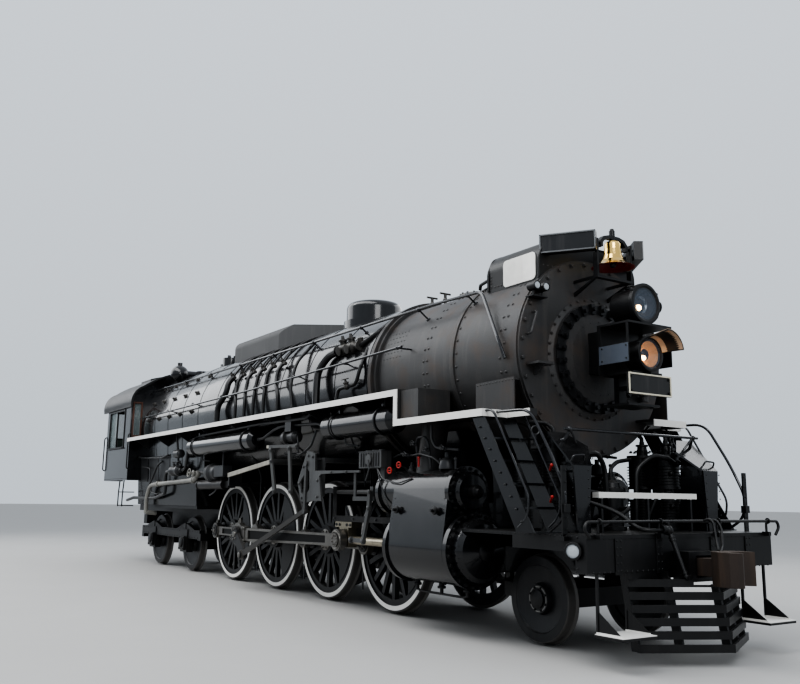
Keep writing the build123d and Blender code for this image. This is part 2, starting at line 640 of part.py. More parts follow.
shell = course + rod_x(SMOKEBOX_R, SMOKEBOX_X, 0, BOILER_Z)
shell += rod_x(SMOKEBOX_R + SMOKEBOX_RING[1], from_end(SMOKEBOX_X[1], -SMOKEBOX_RING[0]), 0, BOILER_Z)
save("boiler_jacket", boiler)
save("smokebox", shell)

# Smokebox front: its plate, the seat that the door closes on, the hinges, and a step on each side.
FRONT_X = SMOKEBOX_X[1] + 34.0
SEAT_X = FRONT_X + 28.0
SEAT_R = (720.0, 660.0)
DOOR_X = SEAT_X + 4.0
HINGE_Y = 760.0
HINGE_R = 26.0
HINGE_X = DOOR_X + 48.0
HINGE_DZ = 330.0
STRAP_X = (DOOR_X + 30.0, DOOR_X + 62.0)
STRAP_Y = 350.0
STRAP_HALF = 45.0
KNUCKLE_R = 52.0
KNUCKLE_HALF = 60.0
LUG_HALF = 28.0
LUG_DZ = 95.0
STEP_Y = (810.0, 1050.0)
STEP_REACH = 205.0
STEP_Z = (3010.0, 3032.0)
STEP_RIB = 20.0
STEP_RIB_DROP = 110.0

front = rod_x(SMOKEBOX_R, (SMOKEBOX_X[1], FRONT_X), 0, BOILER_Z)
front += spin_x([(FRONT_X, 0), (FRONT_X, SEAT_R[0]), (SEAT_X, SEAT_R[1]), (SEAT_X, 0)], 0, DOOR_Z)
for z in about(DOOR_Z, HINGE_DZ):
    hinge = rod_z(HINGE_R, HINGE_X, HINGE_Y, about(z, LUG_DZ + LUG_HALF))
    for lug_z in about(z, LUG_DZ):
        hinge += block((FRONT_X, HINGE_X), about(HINGE_Y, HINGE_R + STEP_RIB / 5), about(lug_z, LUG_HALF))
        hinge += rod_z(KNUCKLE_R - SIDE_GAP, HINGE_X, HINGE_Y, about(lug_z, LUG_HALF))
    front += hinge
for side in SIDES:
    front += block((FRONT_X - STEP_RIB, FRONT_X + STEP_REACH), span(side, STEP_Y), STEP_Z)
    front += plate_xz([(FRONT_X - STEP_RIB, STEP_Z[0] - STEP_RIB_DROP), (FRONT_X, STEP_Z[0] - STEP_RIB_DROP),
                       (FRONT_X + STEP_REACH - STEP_RIB, STEP_Z[0]), (FRONT_X - STEP_RIB, STEP_Z[0])],
                      span(side, about(sum(STEP_Y) / 2, STEP_RIB / 2)))
save("smokebox_front", front)

# Smokebox door with its ring of dogs. Its outline: distance out from the seat, radius.
DOOR_OUTLINE = [(0, DOOR_R), (34, DOOR_R), (44, DOOR_R - 95), (70, DOOR_R - 210), (96, DOOR_R - 420), (104, 60)]
DOG_COUNT = 24
DOG_RING_R = DOOR_R - 55
DOG_HALF = 28.0
DOG_REACH = (-55.0, 62.0)
DOG_OUT = (20.0, 74.0)
DOG_BOLT_R = 24.0
DOG_BOLT_OUT = (50.0, 110.0)
door = turned_end(DOOR_X, 1, DOOR_OUTLINE, 0, DOOR_Z)
for n in range(DOG_COUNT):
    dog = block((DOOR_X + DOG_OUT[0], DOOR_X + DOG_OUT[1]), about(0, DOG_HALF),
                (DOG_RING_R + DOG_REACH[0], DOG_RING_R + DOG_REACH[1]))
    dog += rod_x(DOG_BOLT_R, (DOOR_X + DOG_BOLT_OUT[0], DOOR_X + DOG_BOLT_OUT[1]), 0, DOG_RING_R)
    door += Pos(0, 0, DOOR_Z) * Rot((n + 0.5) * 360 / DOG_COUNT, 0, 0) * dog
for z in about(DOOR_Z, HINGE_DZ):
    door += block(STRAP_X, (STRAP_Y, HINGE_Y), about(z, STRAP_HALF))
    door += rod_z(KNUCKLE_R, HINGE_X, HINGE_Y, about(z, KNUCKLE_HALF))
    door -= rod_z(HINGE_R + PIN_GAP, HINGE_X, HINGE_Y, about(z, KNUCKLE_HALF + CUT))
save("smokebox_door", door)

# Bracket on the door that carries both lamps and the plate: X, half width, Z of each of its pieces.
SHELF_X = (7240.0, 7700.0)
SHELF_HALF = 350.0
SHELF_Z = (3440.0, 3465.0)
LOW_SHELF_Z = (2905.0, 2930.0)
PLATE_X = (7640.0, 7666.0)
PLATE_HALF = 340.0
PLATE_Z = (2670.0, 2900.0)
LAMP_Z = 3695.0
LAMP_X = (7230.0, 7650.0)
LOW_LAMP_Z = 3125.0
LOW_LAMP_X = (7400.0, 7690.0)
BRACKET = [
    ((DOOR_X + 90, SHELF_X[0]), 200.0, (2960.0, 3440.0)),
    ((SHELF_X[0], SHELF_X[0] + 20), SHELF_HALF, (LOW_SHELF_Z[0], SHELF_Z[0])),
    (SHELF_X, SHELF_HALF, SHELF_Z),
    ((SHELF_X[0] - 40, PLATE_X[0]), 230.0, LOW_SHELF_Z),
    ((SHELF_X[0] - 40, SHELF_X[0] + 30), 60.0, (2560.0, LOW_SHELF_Z[0])),
    ((SHELF_X[0] - 40, PLATE_X[0]), 40.0, (2760.0, 2800.0)),
    ((SHELF_X[0] - 40, PLATE_X[0] - 60), 250.0, (2560.0, 2585.0)),
    ((LAMP_X[0] + 70, LAMP_X[1] - 90), 120.0, (SHELF_Z[1], SHELF_Z[1] + 30)),
    ((LAMP_X[0] + 90, LAMP_X[1] - 90), 90.0, (SHELF_Z[1] + 30, LAMP_Z - 170)),
    ((LOW_LAMP_X[0] + 60, LOW_LAMP_X[1] - 60), 70.0, (LOW_SHELF_Z[1], LOW_LAMP_Z - 150)),
]
SIDE_PANEL_X = (SHELF_X[0] + 20, SHELF_X[1] - 10)
SIDE_PANEL_Z = (3010.0, 3230.0)
SIDE_PANEL = 10.0
PANEL_POST = (30.0, 230.0)
# Lamps: distance from the back end, radius.
LAMP_OUTLINE = [(0, 120), (60, 190), (370, 206), (400, 222), (420, 222), (420, 196), (398, 140), (330, 85), (330, 20)]
LOW_OUTLINE = [(0, 90), (50, 168), (250, 182), (262, 190), (290, 190), (290, 172), (220, 120), (200, 80), (200, 20)]
LENS_BACK = (14.0, 6.0)
LENS_R = 185.0
LOW_LENS_R = 165.0
VISOR_R = (178.0, 190.0)
VISOR_IN_Y = -20.0
VISOR_REACH = 260.0
VISOR_FLARE = 45.0
VISOR_FROM_Z = 30.0

lamps = total([block(x, about(0, half_width), z) for x, half_width, z in BRACKET]) - door
for side in SIDES:
    lamps += block(SIDE_PANEL_X, span(side, (SHELF_HALF - SIDE_PANEL, SHELF_HALF)), SIDE_PANEL_Z)
    lamps += block(from_end(SIDE_PANEL_X[0], PANEL_POST[0]), span(side, (SHELF_HALF - SIDE_PANEL, SHELF_HALF)),
                   (SIDE_PANEL_Z[0], SHELF_Z[0]))
    lamps += block(from_end(SIDE_PANEL_X[1], -PANEL_POST[0]), span(side, (SHELF_HALF - SIDE_PANEL, SHELF_HALF)),
                   (SIDE_PANEL_Z[0], SHELF_Z[0]))
headlight = turned_end(LAMP_X[0], 1, LAMP_OUTLINE, 0, LAMP_Z)
low_lamp = turned_end(LOW_LAMP_X[0], 1, LOW_OUTLINE, 0, LOW_LAMP_Z)
visor = spin_x([(LOW_LAMP_X[1] - CUT, VISOR_R[0]), (LOW_LAMP_X[1] - CUT, VISOR_R[1]),
                (LOW_LAMP_X[1] + VISOR_REACH, VISOR_R[1] + VISOR_FLARE),
                (LOW_LAMP_X[1] + VISOR_REACH, VISOR_R[0] + VISOR_FLARE)], 0, LOW_LAMP_Z)
visor &= block((LOW_LAMP_X[0], LOW_LAMP_X[1] + VISOR_REACH + CUT), (VISOR_IN_Y, SHELF_HALF),
               (LOW_LAMP_Z + VISOR_FROM_Z, SHELF_Z[1]))
lamps += headlight + low_lamp + visor
save("headlights", *lamps.solids())
lens = rod_x(LENS_R, (LAMP_X[1] - LENS_BACK[0], LAMP_X[1] - LENS_BACK[1]), 0, LAMP_Z)
low_lens = rod_x(LOW_LENS_R, (LOW_LAMP_X[1] - LENS_BACK[0], LOW_LAMP_X[1] - LENS_BACK[1]), 0, LOW_LAMP_Z)
save("headlight_lenses", lens - lamps, low_lens - lamps)
save("front_plate", block(PLATE_X, about(0, PLATE_HALF), PLATE_Z))

# Cowl round the stack, with the stack's rim inside.
COWL_X = (5870.0, 6790.0)
COWL_HALF = 790.0
COWL_TOP_Z = 4540.0
COWL_CORNER = 250.0
COWL_WALL = 24.0
STACK_X = 6320.0
STACK_R = 330.0
STACK_BORE_R = 270.0
STACK_BORE_DEPTH = 300.0
STACK_RIM = (365.0, 50.0)
STACK_HOLE_R = 400.0
STACK_TOP_Z = COWL_TOP_Z + 60.0
cowl_foot_z = BOILER_Z + SMOKEBOX_R / 2
cowl = along_x(shoulder_face(COWL_HALF, cowl_foot_z, COWL_TOP_Z, COWL_CORNER), COWL_X) - shell
cowl -= along_x(shoulder_face(COWL_HALF - COWL_WALL, cowl_foot_z - CUT, COWL_TOP_Z - COWL_WALL, COWL_CORNER - COWL_WALL),
                (COWL_X[0] + COWL_WALL, COWL_X[1] - COWL_WALL))
cowl -= rod_z(STACK_HOLE_R, STACK_X, 0, (COWL_TOP_Z - COWL_CORNER, COWL_TOP_Z + CUT))
stack = rod_z(STACK_R, STACK_X, 0, (BOILER_Z, STACK_TOP_Z)) - shell
stack += rod_z(STACK_RIM[0], STACK_X, 0, (STACK_TOP_Z - STACK_RIM[1], STACK_TOP_Z))
stack -= rod_z(STACK_BORE_R, STACK_X, 0, (STACK_TOP_Z - STACK_BORE_DEPTH, STACK_TOP_Z + CUT))
save("stack_cowl", cowl, stack - cowl)

# Number boards beside the bell, with the bell's posts between them. The boards' ends are in X and distance out.
BELL_X = 7190.0
BELL_AXIS_Z = 4470.0
BOARD_A = (6770.0, 760.0)
BOARD_B = (7300.0, 390.0)
BOARD_BOX = 100.0
BOARD_BOX_Z = (4350.0, 4575.0)
POST_Y = (262.0, 290.0)
POST_HALF = 34.0
POST_TOP = 46.0
CRADLE_Z = (4050.0, 4080.0)
TIE_Z = (4370.0, 4395.0)
TIE_HALF = 18.0
TIE_OUT_Y = 430.0
STRUT_DROP = 160.0
TRUNNION_R = 17.0
length = math.hypot(BOARD_B[0] - BOARD_A[0], BOARD_B[1] - BOARD_A[1])
in_x = -BOARD_BOX * (BOARD_A[1] - BOARD_B[1]) / length
in_y = -BOARD_BOX * (BOARD_B[0] - BOARD_A[0]) / length
boards = block((BELL_X - POST_HALF, BELL_X + POST_HALF), about(0, POST_Y[1]), CRADLE_Z)
for side in SIDES:
    ends = [BOARD_A, BOARD_B, (BOARD_B[0] + in_x, BOARD_B[1] + in_y), (BOARD_A[0] + in_x, BOARD_A[1] + in_y)]
    boards += plate_xy([(x, side * y) for x, y in ends], BOARD_BOX_Z)
    boards += block((FRONT_X, BELL_X), span(side, POST_Y), CRADLE_Z)
    boards += plate_xz([(FRONT_X, CRADLE_Z[0] - STRUT_DROP), (FRONT_X, CRADLE_Z[0] - STRUT_DROP + POST_TOP),
                        (BELL_X - POST_HALF, CRADLE_Z[0]), (BELL_X, CRADLE_Z[0])], span(side, POST_Y))
    post = block(about(BELL_X, POST_HALF), span(side, POST_Y), (CRADLE_Z[0], BELL_AXIS_Z + POST_TOP))
    boards += post + block(about(BELL_X, TIE_HALF), span(side, (POST_Y[0], TIE_OUT_Y)), TIE_Z)
boards = boards - side_hole(TRUNNION_R + PIN_GAP, BELL_X, BELL_AXIS_Z) - cowl - front
save("number_boards", *boards.solids())

# Bell: radius, height over its mouth. It hangs in an arched yoke that swings in the posts.
BELL_MOUTH_Z = 4210.0
BELL_OUTLINE = [(0, 316), (44, 315), (76, 304), (92, 280), (97, 215), (108, 142), (130, 88), (166, 48), (212, 18), (250, 0),
                (236, 0), (204, 5), (157, 36), (119, 80), (96, 138), (85, 212), (79, 272), (62, 290), (0, 294)]
YOKE_HALF = 32.0
YOKE_Y = (186.0, 226.0)
# The yoke's outline: distance from the centre plane, height over the axis; its outer edge, then its inner one.
YOKE_OUTER = [(YOKE_Y[1], -40), (YOKE_Y[1], 28), (172, 88), (82, 112)]
YOKE_INNER = [(70, 72), (146, 54), (YOKE_Y[0], 8), (YOKE_Y[0], -40)]
CROWN_BOLT_R = 34.0
CROWN_BOLT_Z = 4650.0
bell_face = make_face(Polyline(*[(r, 0, up) for r, up in BELL_OUTLINE], close=True))
save("bell", Pos(BELL_X, 0, BELL_MOUTH_Z) * revolve(bell_face, Axis.Z))
yoke_right = [(-y, BELL_AXIS_Z + up) for y, up in YOKE_OUTER]
yoke_left = [(y, BELL_AXIS_Z + up) for y, up in reversed(YOKE_OUTER)]
yoke_in_left = [(y, BELL_AXIS_Z + up) for y, up in reversed(YOKE_INNER)]
yoke_in_right = [(-y, BELL_AXIS_Z + up) for y, up in YOKE_INNER]
hanger = plate_yz(yoke_right + yoke_left + yoke_in_left + yoke_in_right, about(BELL_X, YOKE_HALF))
for side in SIDES:
    hanger += rod_y(TRUNNION_R, BELL_X, span(side, (YOKE_Y[0], POST_Y[1] + SIDE_GAP)), BELL_AXIS_Z)
hanger += rod_z(CROWN_BOLT_R, BELL_X, 0, (BELL_MOUTH_Z + BELL_OUTLINE[0][1], CROWN_BOLT_Z))
save("bell_hanger", hanger)

# Sand dome and the casing round the steam dome, on the boiler's back.
SAND_X = 1880.0
SAND_R = 465.0
SAND_TOP_Z = 4755.0
SAND_ROUND = 110.0
SAND_RING = (45.0, 15.0)
CASING_X = (-2900.0, -860.0, 1330.0)
CASING_HALF = (500.0, 260.0)
CASING_TOP_Z = 4750.0
CASING_CORNER = 170.0
CASING_FALL = 290.0
CASING_SLOPE_X = 300.0
sand = rod_z(SAND_R, SAND_X, 0, (BOILER_Z, SAND_TOP_Z))
sand = fillet(sand.faces().sort_by(Axis.Z)[-1].edges(), SAND_ROUND)
sand += rod_z(SAND_R + SAND_RING[0], SAND_X, 0, (BOILER_Z, CROWN_Z + SAND_RING[1]))
sand -= boiler
save("sand_dome", sand)
casing = along_x(shoulder_face(CASING_HALF[0], BOILER_Z, CASING_TOP_Z, CASING_CORNER), (CASING_X[0], CASING_X[2]))
casing &= plate_xy([(CASING_X[0] - CUT, -CASING_HALF[0] - CUT), (CASING_X[1], -CASING_HALF[0] - CUT),
                    (CASING_X[2] + CUT, -CASING_HALF[1]), (CASING_X[2] + CUT, CASING_HALF[1]),
                    (CASING_X[1], CASING_HALF[0] + CUT), (CASING_X[0] - CUT, CASING_HALF[0] + CUT)],
                   (BOILER_Z - CUT, CASING_TOP_Z + CUT))
casing &= plate_xz([(CASING_X[0] - CUT, BOILER_Z - CUT), (CASING_X[2] + CUT, BOILER_Z - CUT),
                    (CASING_X[2] + CUT, CASING_TOP_Z - CASING_FALL), (CASING_X[1] + CASING_SLOPE_X, CASING_TOP_Z + CUT),
                    (CASING_X[0] - CUT, CASING_TOP_Z + CUT)], about(0, CASING_HALF[0] + CUT))
save("dome_casing", casing - boiler - sand)

# Safety valves and the steam turrets in front of the cab: two ball-shaped ones with a pipe between them.
SAFETY_X = -4350.0
SAFETY_R = 178.0
SAFETY_TOP_Z = 4640.0
SAFETY_RING = (30.0, 40.0)
SAFETY_LID = (-330.0, 110.0, 4540.0)
VALVE_AT = ((-80.0, 0.0), (60.0, 70.0), (60.0, -70.0))
VALVE_R = 36.0
VALVE_RISE = 60.0
TURRET_X = -5760.0
TURRET_Y = 700.0
TURRET_Z = 4380.0
TURRET_R = 210.0
TURRET_KNOB = (58.0, 270.0)
TURRET_PIPE_R = 100.0
LID_AT = (-5370.0, -300.0)
LID_R = 120.0
LID_TOP_Z = 4430.0
safety = rod_z(SAFETY_R, SAFETY_X, 0, (BOILER_Z, SAFETY_TOP_Z))
safety += rod_z(SAFETY_R + SAFETY_RING[0], SAFETY_X, 0, (BOILER_Z, CROWN_Z + SAFETY_RING[1]))
for x, y in VALVE_AT:
    safety += rod_z(VALVE_R, SAFETY_X + x, y, (SAFETY_TOP_Z - CUT, SAFETY_TOP_Z + VALVE_RISE))
safety += rod_z(SAFETY_LID[1], SAFETY_X + SAFETY_LID[0], 0, (BOILER_Z, SAFETY_LID[2]))
turret = rod_y(TURRET_PIPE_R, TURRET_X, about(0, TURRET_Y), TURRET_Z)
for side in SIDES:
    turret += Pos(TURRET_X, side * TURRET_Y, TURRET_Z) * Sphere(TURRET_R)
    turret += rod_z(TURRET_KNOB[0], TURRET_X, side * TURRET_Y, (TURRET_Z, TURRET_Z + TURRET_KNOB[1]))
lid = rod_z(LID_R, LID_AT[0], LID_AT[1], (BOILER_Z, LID_TOP_Z))
save("turrets", safety - boiler, turret - boiler, lid - boiler)

# Cab: a hollow shell with its windows and doorway, and an arched roof of two shoulders and a crown.
CAB_TOP_Z = CAB_EAVE_Z + SHOULDER_RISE + CROWN_RISE
ROOF_HALF = CAB_HALF + 40.0
WINDOW_X = (-8240.0, -7000.0)
WINDOW_Z = (2700.0, 3560.0)
FRONT_WINDOW_Y = (1335.0, 1490.0)
FRONT_WINDOW_Z = (2950.0, 3700.0)
REAR_WINDOW_Y = (900.0, 1380.0)
REAR_WINDOW_Z = (2980.0, 3600.0)
DOORWAY_HALF = 480.0
DOORWAY_TOP_Z = 3900.0
FLOOR_THICK = 60.0
UNDER_HALF = 1100.0
HATCH_X = (-8700.0, -7900.0)
HATCH_HALF = 720.0
HATCH_RISE = 60.0


def roof_face(half_width, drop, foot):
    """Outline across the roof, this far under its outer face, closed along a foot."""
    edge = (half_width - SHOULDER_IN, CAB_EAVE_Z + SHOULDER_RISE - drop)
    bulge = (half_width - SHOULDER_BULGE[0], CAB_EAVE_Z + SHOULDER_BULGE[1] - drop / 2)
    return make_face([
        Line((0, -half_width, foot), (0, -half_width, CAB_EAVE_Z)),
        ThreePointArc((0, -half_width, CAB_EAVE_Z), (0, -bulge[0], bulge[1]), (0, -edge[0], edge[1])),
        ThreePointArc((0, -edge[0], edge[1]), (0, 0, CAB_TOP_Z - drop), (0, edge[0], edge[1])),
        ThreePointArc((0, edge[0], edge[1]), (0, bulge[0], bulge[1]), (0, half_width, CAB_EAVE_Z)),
        Line((0, half_width, CAB_EAVE_Z), (0, half_width, foot)),
        Line((0, half_width, foot), (0, -half_width, foot)),
    ])


roof_in = along_x(roof_face(CAB_HALF, ROOF_THICK, CAB_SILL_Z), (ROOF_X[0] - CUT, ROOF_X[1] + CUT))
roof = along_x(roof_face(ROOF_HALF, 0, CAB_EAVE_Z - CAB_WALL), ROOF_X)
roof += along_x(roof_face(ROOF_HALF, -HATCH_RISE, CAB_EAVE_Z - CAB_WALL), HATCH_X) & block(
    HATCH_X, about(0, HATCH_HALF), (CAB_EAVE_Z, CAB_TOP_Z + 2 * HATCH_RISE))
save("cab_roof", roof - roof_in - boiler)

inside = along_x(roof_face(CAB_HALF - CAB_WALL, ROOF_THICK + CAB_WALL, CAB_SILL_Z - CUT), (CAB_X[0] + CAB_WALL, CAB_X[1] - CAB_WALL))
inside += block((CAB_X[0] + CAB_WALL, CAB_X[1] - CAB_WALL), about(0, CAB_HALF - CAB_WALL - SHOULDER_IN),
                (CAB_EAVE_Z, CAB_TOP_Z))
cab = along_x(roof_face(CAB_HALF, ROOF_THICK, CAB_SILL_Z), CAB_X) - inside
cab -= block((CAB_X[0] + CAB_WALL, CAB_X[1] - CAB_WALL), about(0, CAB_HALF + CUT), (CAB_EAVE_Z, CAB_TOP_Z))
side_wall = about(CAB_HALF - CAB_WALL / 2, CAB_WALL)
front_wall = about(CAB_X[1] - CAB_WALL / 2, CAB_WALL)
rear_wall = about(CAB_X[0] + CAB_WALL / 2, CAB_WALL)
for side in SIDES:
    cab -= block(WINDOW_X, span(side, side_wall), WINDOW_Z)
    cab -= block(front_wall, span(side, FRONT_WINDOW_Y), FRONT_WINDOW_Z)
    cab -= block(rear_wall, span(side, REAR_WINDOW_Y), REAR_WINDOW_Z)
cab -= block(rear_wall, about(0, DOORWAY_HALF), (CAB_FLOOR_Z, DOORWAY_TOP_Z))
cab -= block((CAB_X[0] - CUT, CAB_X[1] + CUT), about(0, UNDER_HALF), (CAB_SILL_Z - CUT, CAB_FLOOR_Z - FLOOR_THICK))
floor = block((CAB_X[0] + CAB_WALL, CAB_X[1] - CAB_WALL), about(0, CAB_HALF - CAB_WALL),
              (CAB_FLOOR_Z - FLOOR_THICK, CAB_FLOOR_Z))
hull = along_x(arch, (FIREBOX_X[0] - CUT, CAB_X[1] + CUT))
save("cab_shell", cab + floor - hull)

# Seats, and the fittings on the boiler's back: reach behind it, Y, Z.
BACK_X = FIREBOX_X[0]
SEAT_PARTS = [((-7700.0, -7250.0), (1080.0, 1500.0), (2420.0, 2500.0)), ((-7780.0, -7700.0), (1080.0, 1500.0), (2420.0, 2900.0)),
              ((-7560.0, -7400.0), (1200.0, 1380.0), (CAB_FLOOR_Z, 2420.0))]
BACKHEAD = [(110.0, (-330.0, 330.0), (2450.0, 2850.0)), (160.0, (-700.0, 700.0), (4020.0, 4090.0)),
            (170.0, (-900.0, -520.0), (2900.0, 3300.0)), (90.0, (-640.0, -520.0), (3340.0, 3460.0))]
GAUGES = [(500.0, 3500.0), (260.0, 3700.0), (-120.0, 3750.0)]
GAUGE_R = 90.0
THROTTLE_R = 22.0
THROTTLE = [(-60.0, -560.0, 3400.0), (-60.0, -1050.0, 3500.0)]
seats = [total([block(x, span(side, y), z) for x, y, z in SEAT_PARTS]) for side in SIDES]
backhead = tube([(BACK_X + dx, y, z) for dx, y, z in THROTTLE], THROTTLE_R, THROTTLE_R)
for reach, y, z in BACKHEAD:
    backhead += block(from_end(BACK_X, -reach), y, z)
for y, z in GAUGES:
    backhead += rod_x(GAUGE_R, from_end(BACK_X, -GAUGE_R), y, z)
save("cab_fittings", *backhead.solids(), *seats)
GLASS_IN = (14.0, 26.0)
GLASS_X = (WINDOW_X[0], WINDOW_X[0] + 620.0)
glass = []
for side in SIDES:
    glass.append(block(GLASS_X, span(side, (CAB_HALF - GLASS_IN[1], CAB_HALF - GLASS_IN[0])), WINDOW_Z))
    glass.append(block((CAB_X[1] - GLASS_IN[1], CAB_X[1] - GLASS_IN[0]), span(side, FRONT_WINDOW_Y), FRONT_WINDOW_Z) - hull)
    glass.append(block((CAB_X[0] + GLASS_IN[0], CAB_X[0] + GLASS_IN[1]), span(side, REAR_WINDOW_Y), REAR_WINDOW_Z))
save("cab_glass", *glass)

# Running boards with their white edges. Plates: X, distances from the centre plane, Z.
# The apron before their front ends is narrower on the right-hand side.
APRON_X = (6600.0, 7100.0)
APRON_IN_Y = {-1: 1150.0, 1: 690.0}
APRON_OUT_Y = 1250.0
edge_y = (BOARD_HALF, BOARD_HALF + BOARD_EDGE)
high_z, low_z = (BOARD_Z - BOARD_THICK, BOARD_Z), (BOARD_LOW_Z - BOARD_THICK, BOARD_LOW_Z)
edge_z = (BOARD_LOW_Z - BOARD_DEPTH, BOARD_LOW_Z)
BOARDS = [
    ((CAB_X[1], BOARD_STEP_X), (BOARD_IN_Y, BOARD_HALF), high_z),
    ((BOARD_STEP_X - BOARD_THICK, BOARD_STEP_X), (BOARD_IN_Y, BOARD_HALF), (low_z[0], BOARD_Z)),
    ((BOARD_STEP_X - BOARD_THICK, BOARD_FRONT_X), (BOARD_IN_Y, BOARD_HALF), low_z),
    ((CAB_X[1], BOARD_STEP_X), edge_y, (BOARD_Z - BOARD_DEPTH, BOARD_Z)),
    ((BOARD_STEP_X - BOARD_DEPTH, BOARD_STEP_X), edge_y, (edge_z[0], BOARD_Z)),
    ((BOARD_STEP_X - BOARD_DEPTH, BOARD_FRONT_X + BOARD_EDGE), edge_y, edge_z),
    ((BOARD_FRONT_X, BOARD_FRONT_X + BOARD_EDGE), (APRON_OUT_Y, BOARD_HALF + BOARD_EDGE), edge_z),
    ((BOARD_FRONT_X, APRON_X[1]), (APRON_OUT_Y, APRON_OUT_Y + BOARD_EDGE), edge_z),
]
outer_shell = rod_x(SMOKEBOX_R + SMOKEBOX_RING[1], (SMOKEBOX_X[0], FRONT_X), 0, BOILER_Z)
running = []
for side in SIDES:
    board = total([block(x, span(side, y), z) for x, y, z in BOARDS])
    board += block(APRON_X, span(side, (APRON_IN_Y[side], APRON_OUT_Y)), low_z)
    board += block(from_end(APRON_X[1], BOARD_EDGE), span(side, (APRON_IN_Y[side], APRON_OUT_Y + BOARD_EDGE)), edge_z)
    for solid in (boiler, course, outer_shell, pipes[0], pipes[1], cylinders):
        board -= solid
    running.append(biggest(board))
save("running_boards", *running)
save("steam_pipes", *[pipe - running[n] for n, pipe in enumerate(pipes)])

# On the front running board: a box before its step, a plate with a lid beside the smokebox.
STEP_BOX = ((5090.0, 5470.0), (1080.0, 1560.0), (BOARD_LOW_Z, 2850.0))
NOSE_PLATE_Y = (1230.0, 1248.0)
NOSE_PLATE = [(6190.0, BOARD_LOW_Z), (6855.0, BOARD_LOW_Z), (6855.0, 2860.0), (6190.0, 2845.0)]
NOSE_LID_Y = (1070.0, 1236.0)
NOSE_LID = [(6190.0, 2827.0), (6790.0, 2840.0), (6790.0, 2858.0), (6190.0, 2845.0)]
boxes = []
for side in SIDES:
    step_box = block(STEP_BOX[0], span(side, STEP_BOX[1]), STEP_BOX[2])
    boxes.append(step_box - shell - outer_shell - pipes[0] - pipes[1])
    nose = plate_xz(NOSE_PLATE, span(side, NOSE_PLATE_Y)) + plate_xz(NOSE_LID, span(side, NOSE_LID_Y))
    boxes.append(nose - outer_shell - front)
save("board_boxes", *boxes)

# Air tanks under the running boards: X, height of the middle.
TANKS = [((-2600.0, 450.0), 2490.0), ((2950.0, 4800.0), 2530.0)]
TANK_Y = 1400.0
TANK_R = 170.0
TANK_END = (60.0, 100.0)
TANK_STRAP = (9.0, 25.0)
TANK_STRAP_IN = 350.0
tanks = []
for side in SIDES:
    y = side * TANK_Y
    for (x0, x1), z in TANKS:
        tank = spin_x([(x0, 0), (x0, TANK_END[1]), (x0 + TANK_END[0], TANK_R), (x1 - TANK_END[0], TANK_R),
                       (x1, TANK_END[1]), (x1, 0)], y, z)
        for x in (x0 + TANK_STRAP_IN, x1 - TANK_STRAP_IN):
            tank += rod_x(TANK_R + TANK_STRAP[0], about(x, TANK_STRAP[1]), y, z)
            tank += block(about(x, TANK_STRAP[1]), about(y, TANK_STRAP[1]), (z + TANK_R - CUT, BOARD_Z - BOARD_THICK))
        tanks.append(tank - running[0] - running[1] - boiler)
save("air_tanks", *tanks)

# Front deck and buffer beam. Side pieces: X, distances from the centre plane, Z.
DECK_LOW_Z = DECK_Z - DECK_THICK
RAIL_POST_X = 7760.0
RAIL_POST_TOP_Z = 1870.0
RAIL_POST_HALF = 8.0
RAIL_POST_Y = (DECK_HALF - 40.0, DECK_HALF + 25.0)
DECK_SIDES = [
    ((7000.0, BEAM_X[0]), (DECK_HALF - 60, DECK_HALF), (DECK_Z - 160, DECK_LOW_Z)),
    (about(RAIL_POST_X, RAIL_POST_HALF), RAIL_POST_Y, (DECK_LOW_Z, RAIL_POST_TOP_Z)),
    (about(RAIL_POST_X, 60.0), (DECK_HALF - 60, DECK_HALF + 60), (DECK_Z - 60, DECK_Z - 20)),
]
POCKET_X = (BEAM_X[1], BEAM_X[1] + 200.0)
POCKET_HALF = 230.0
POCKET_HOLE_HALF = 116.0
POCKET_Z = (760.0, 1050.0)
POCKET_HOLE_Z = (800.0, 1010.0)
beam = block(BEAM_X, about(0, DECK_HALF), (DECK_Z - BEAM_DEPTH, DECK_LOW_Z))
front_deck = block(DECK_X, about(0, DECK_HALF), (DECK_LOW_Z, DECK_Z))
for side in SIDES:
    front_deck += total([block(x, span(side, y), z) for x, y, z in DECK_SIDES])
front_deck -= block(FRONT_FRAME_X, about(0, FRAME_Y[1] + SIDE_GAP / 2), (FRAME_Z[0], FRONT_FRAME_Z[1]))
front_deck -= cylinders
front_deck += beam + block(POCKET_X, about(0, POCKET_HALF), POCKET_Z)
front_deck -= block((POCKET_X[0], POCKET_X[1] + CUT), about(0, POCKET_HOLE_HALF), POCKET_HOLE_Z)
save("front_deck", front_deck)

# Coupler: its shank, and its head as an outline in X back from the tip and Y.
SHANK_HALF = (105.0, 85.0)
HEAD_HALF = 160.0
KNUCKLE_PIN_R = 21.0
KNUCKLE_PIN_AT = (COUPLER_TIP_X - 160.0, -175.0)
HEAD = [(380, -110), (380, 110), (280, 190), (160, 200), (100, 180), (160, 120), (210, 60), (230, -40), (200, -90),
        (110, -110), (20, -110), (0, -150), (10, -210), (80, -240), (200, -240), (320, -190)]
head = block((BEAM_X[1], COUPLER_TIP_X - 340), about(0, SHANK_HALF[0]), about(COUPLER_Z, SHANK_HALF[1]))
head += plate_xy([(COUPLER_TIP_X - back, y) for back, y in HEAD], about(COUPLER_Z, HEAD_HALF))
head -= rod_z(KNUCKLE_PIN_R, *KNUCKLE_PIN_AT, about(COUPLER_Z, HEAD_HALF + CUT))
save("coupler", head)

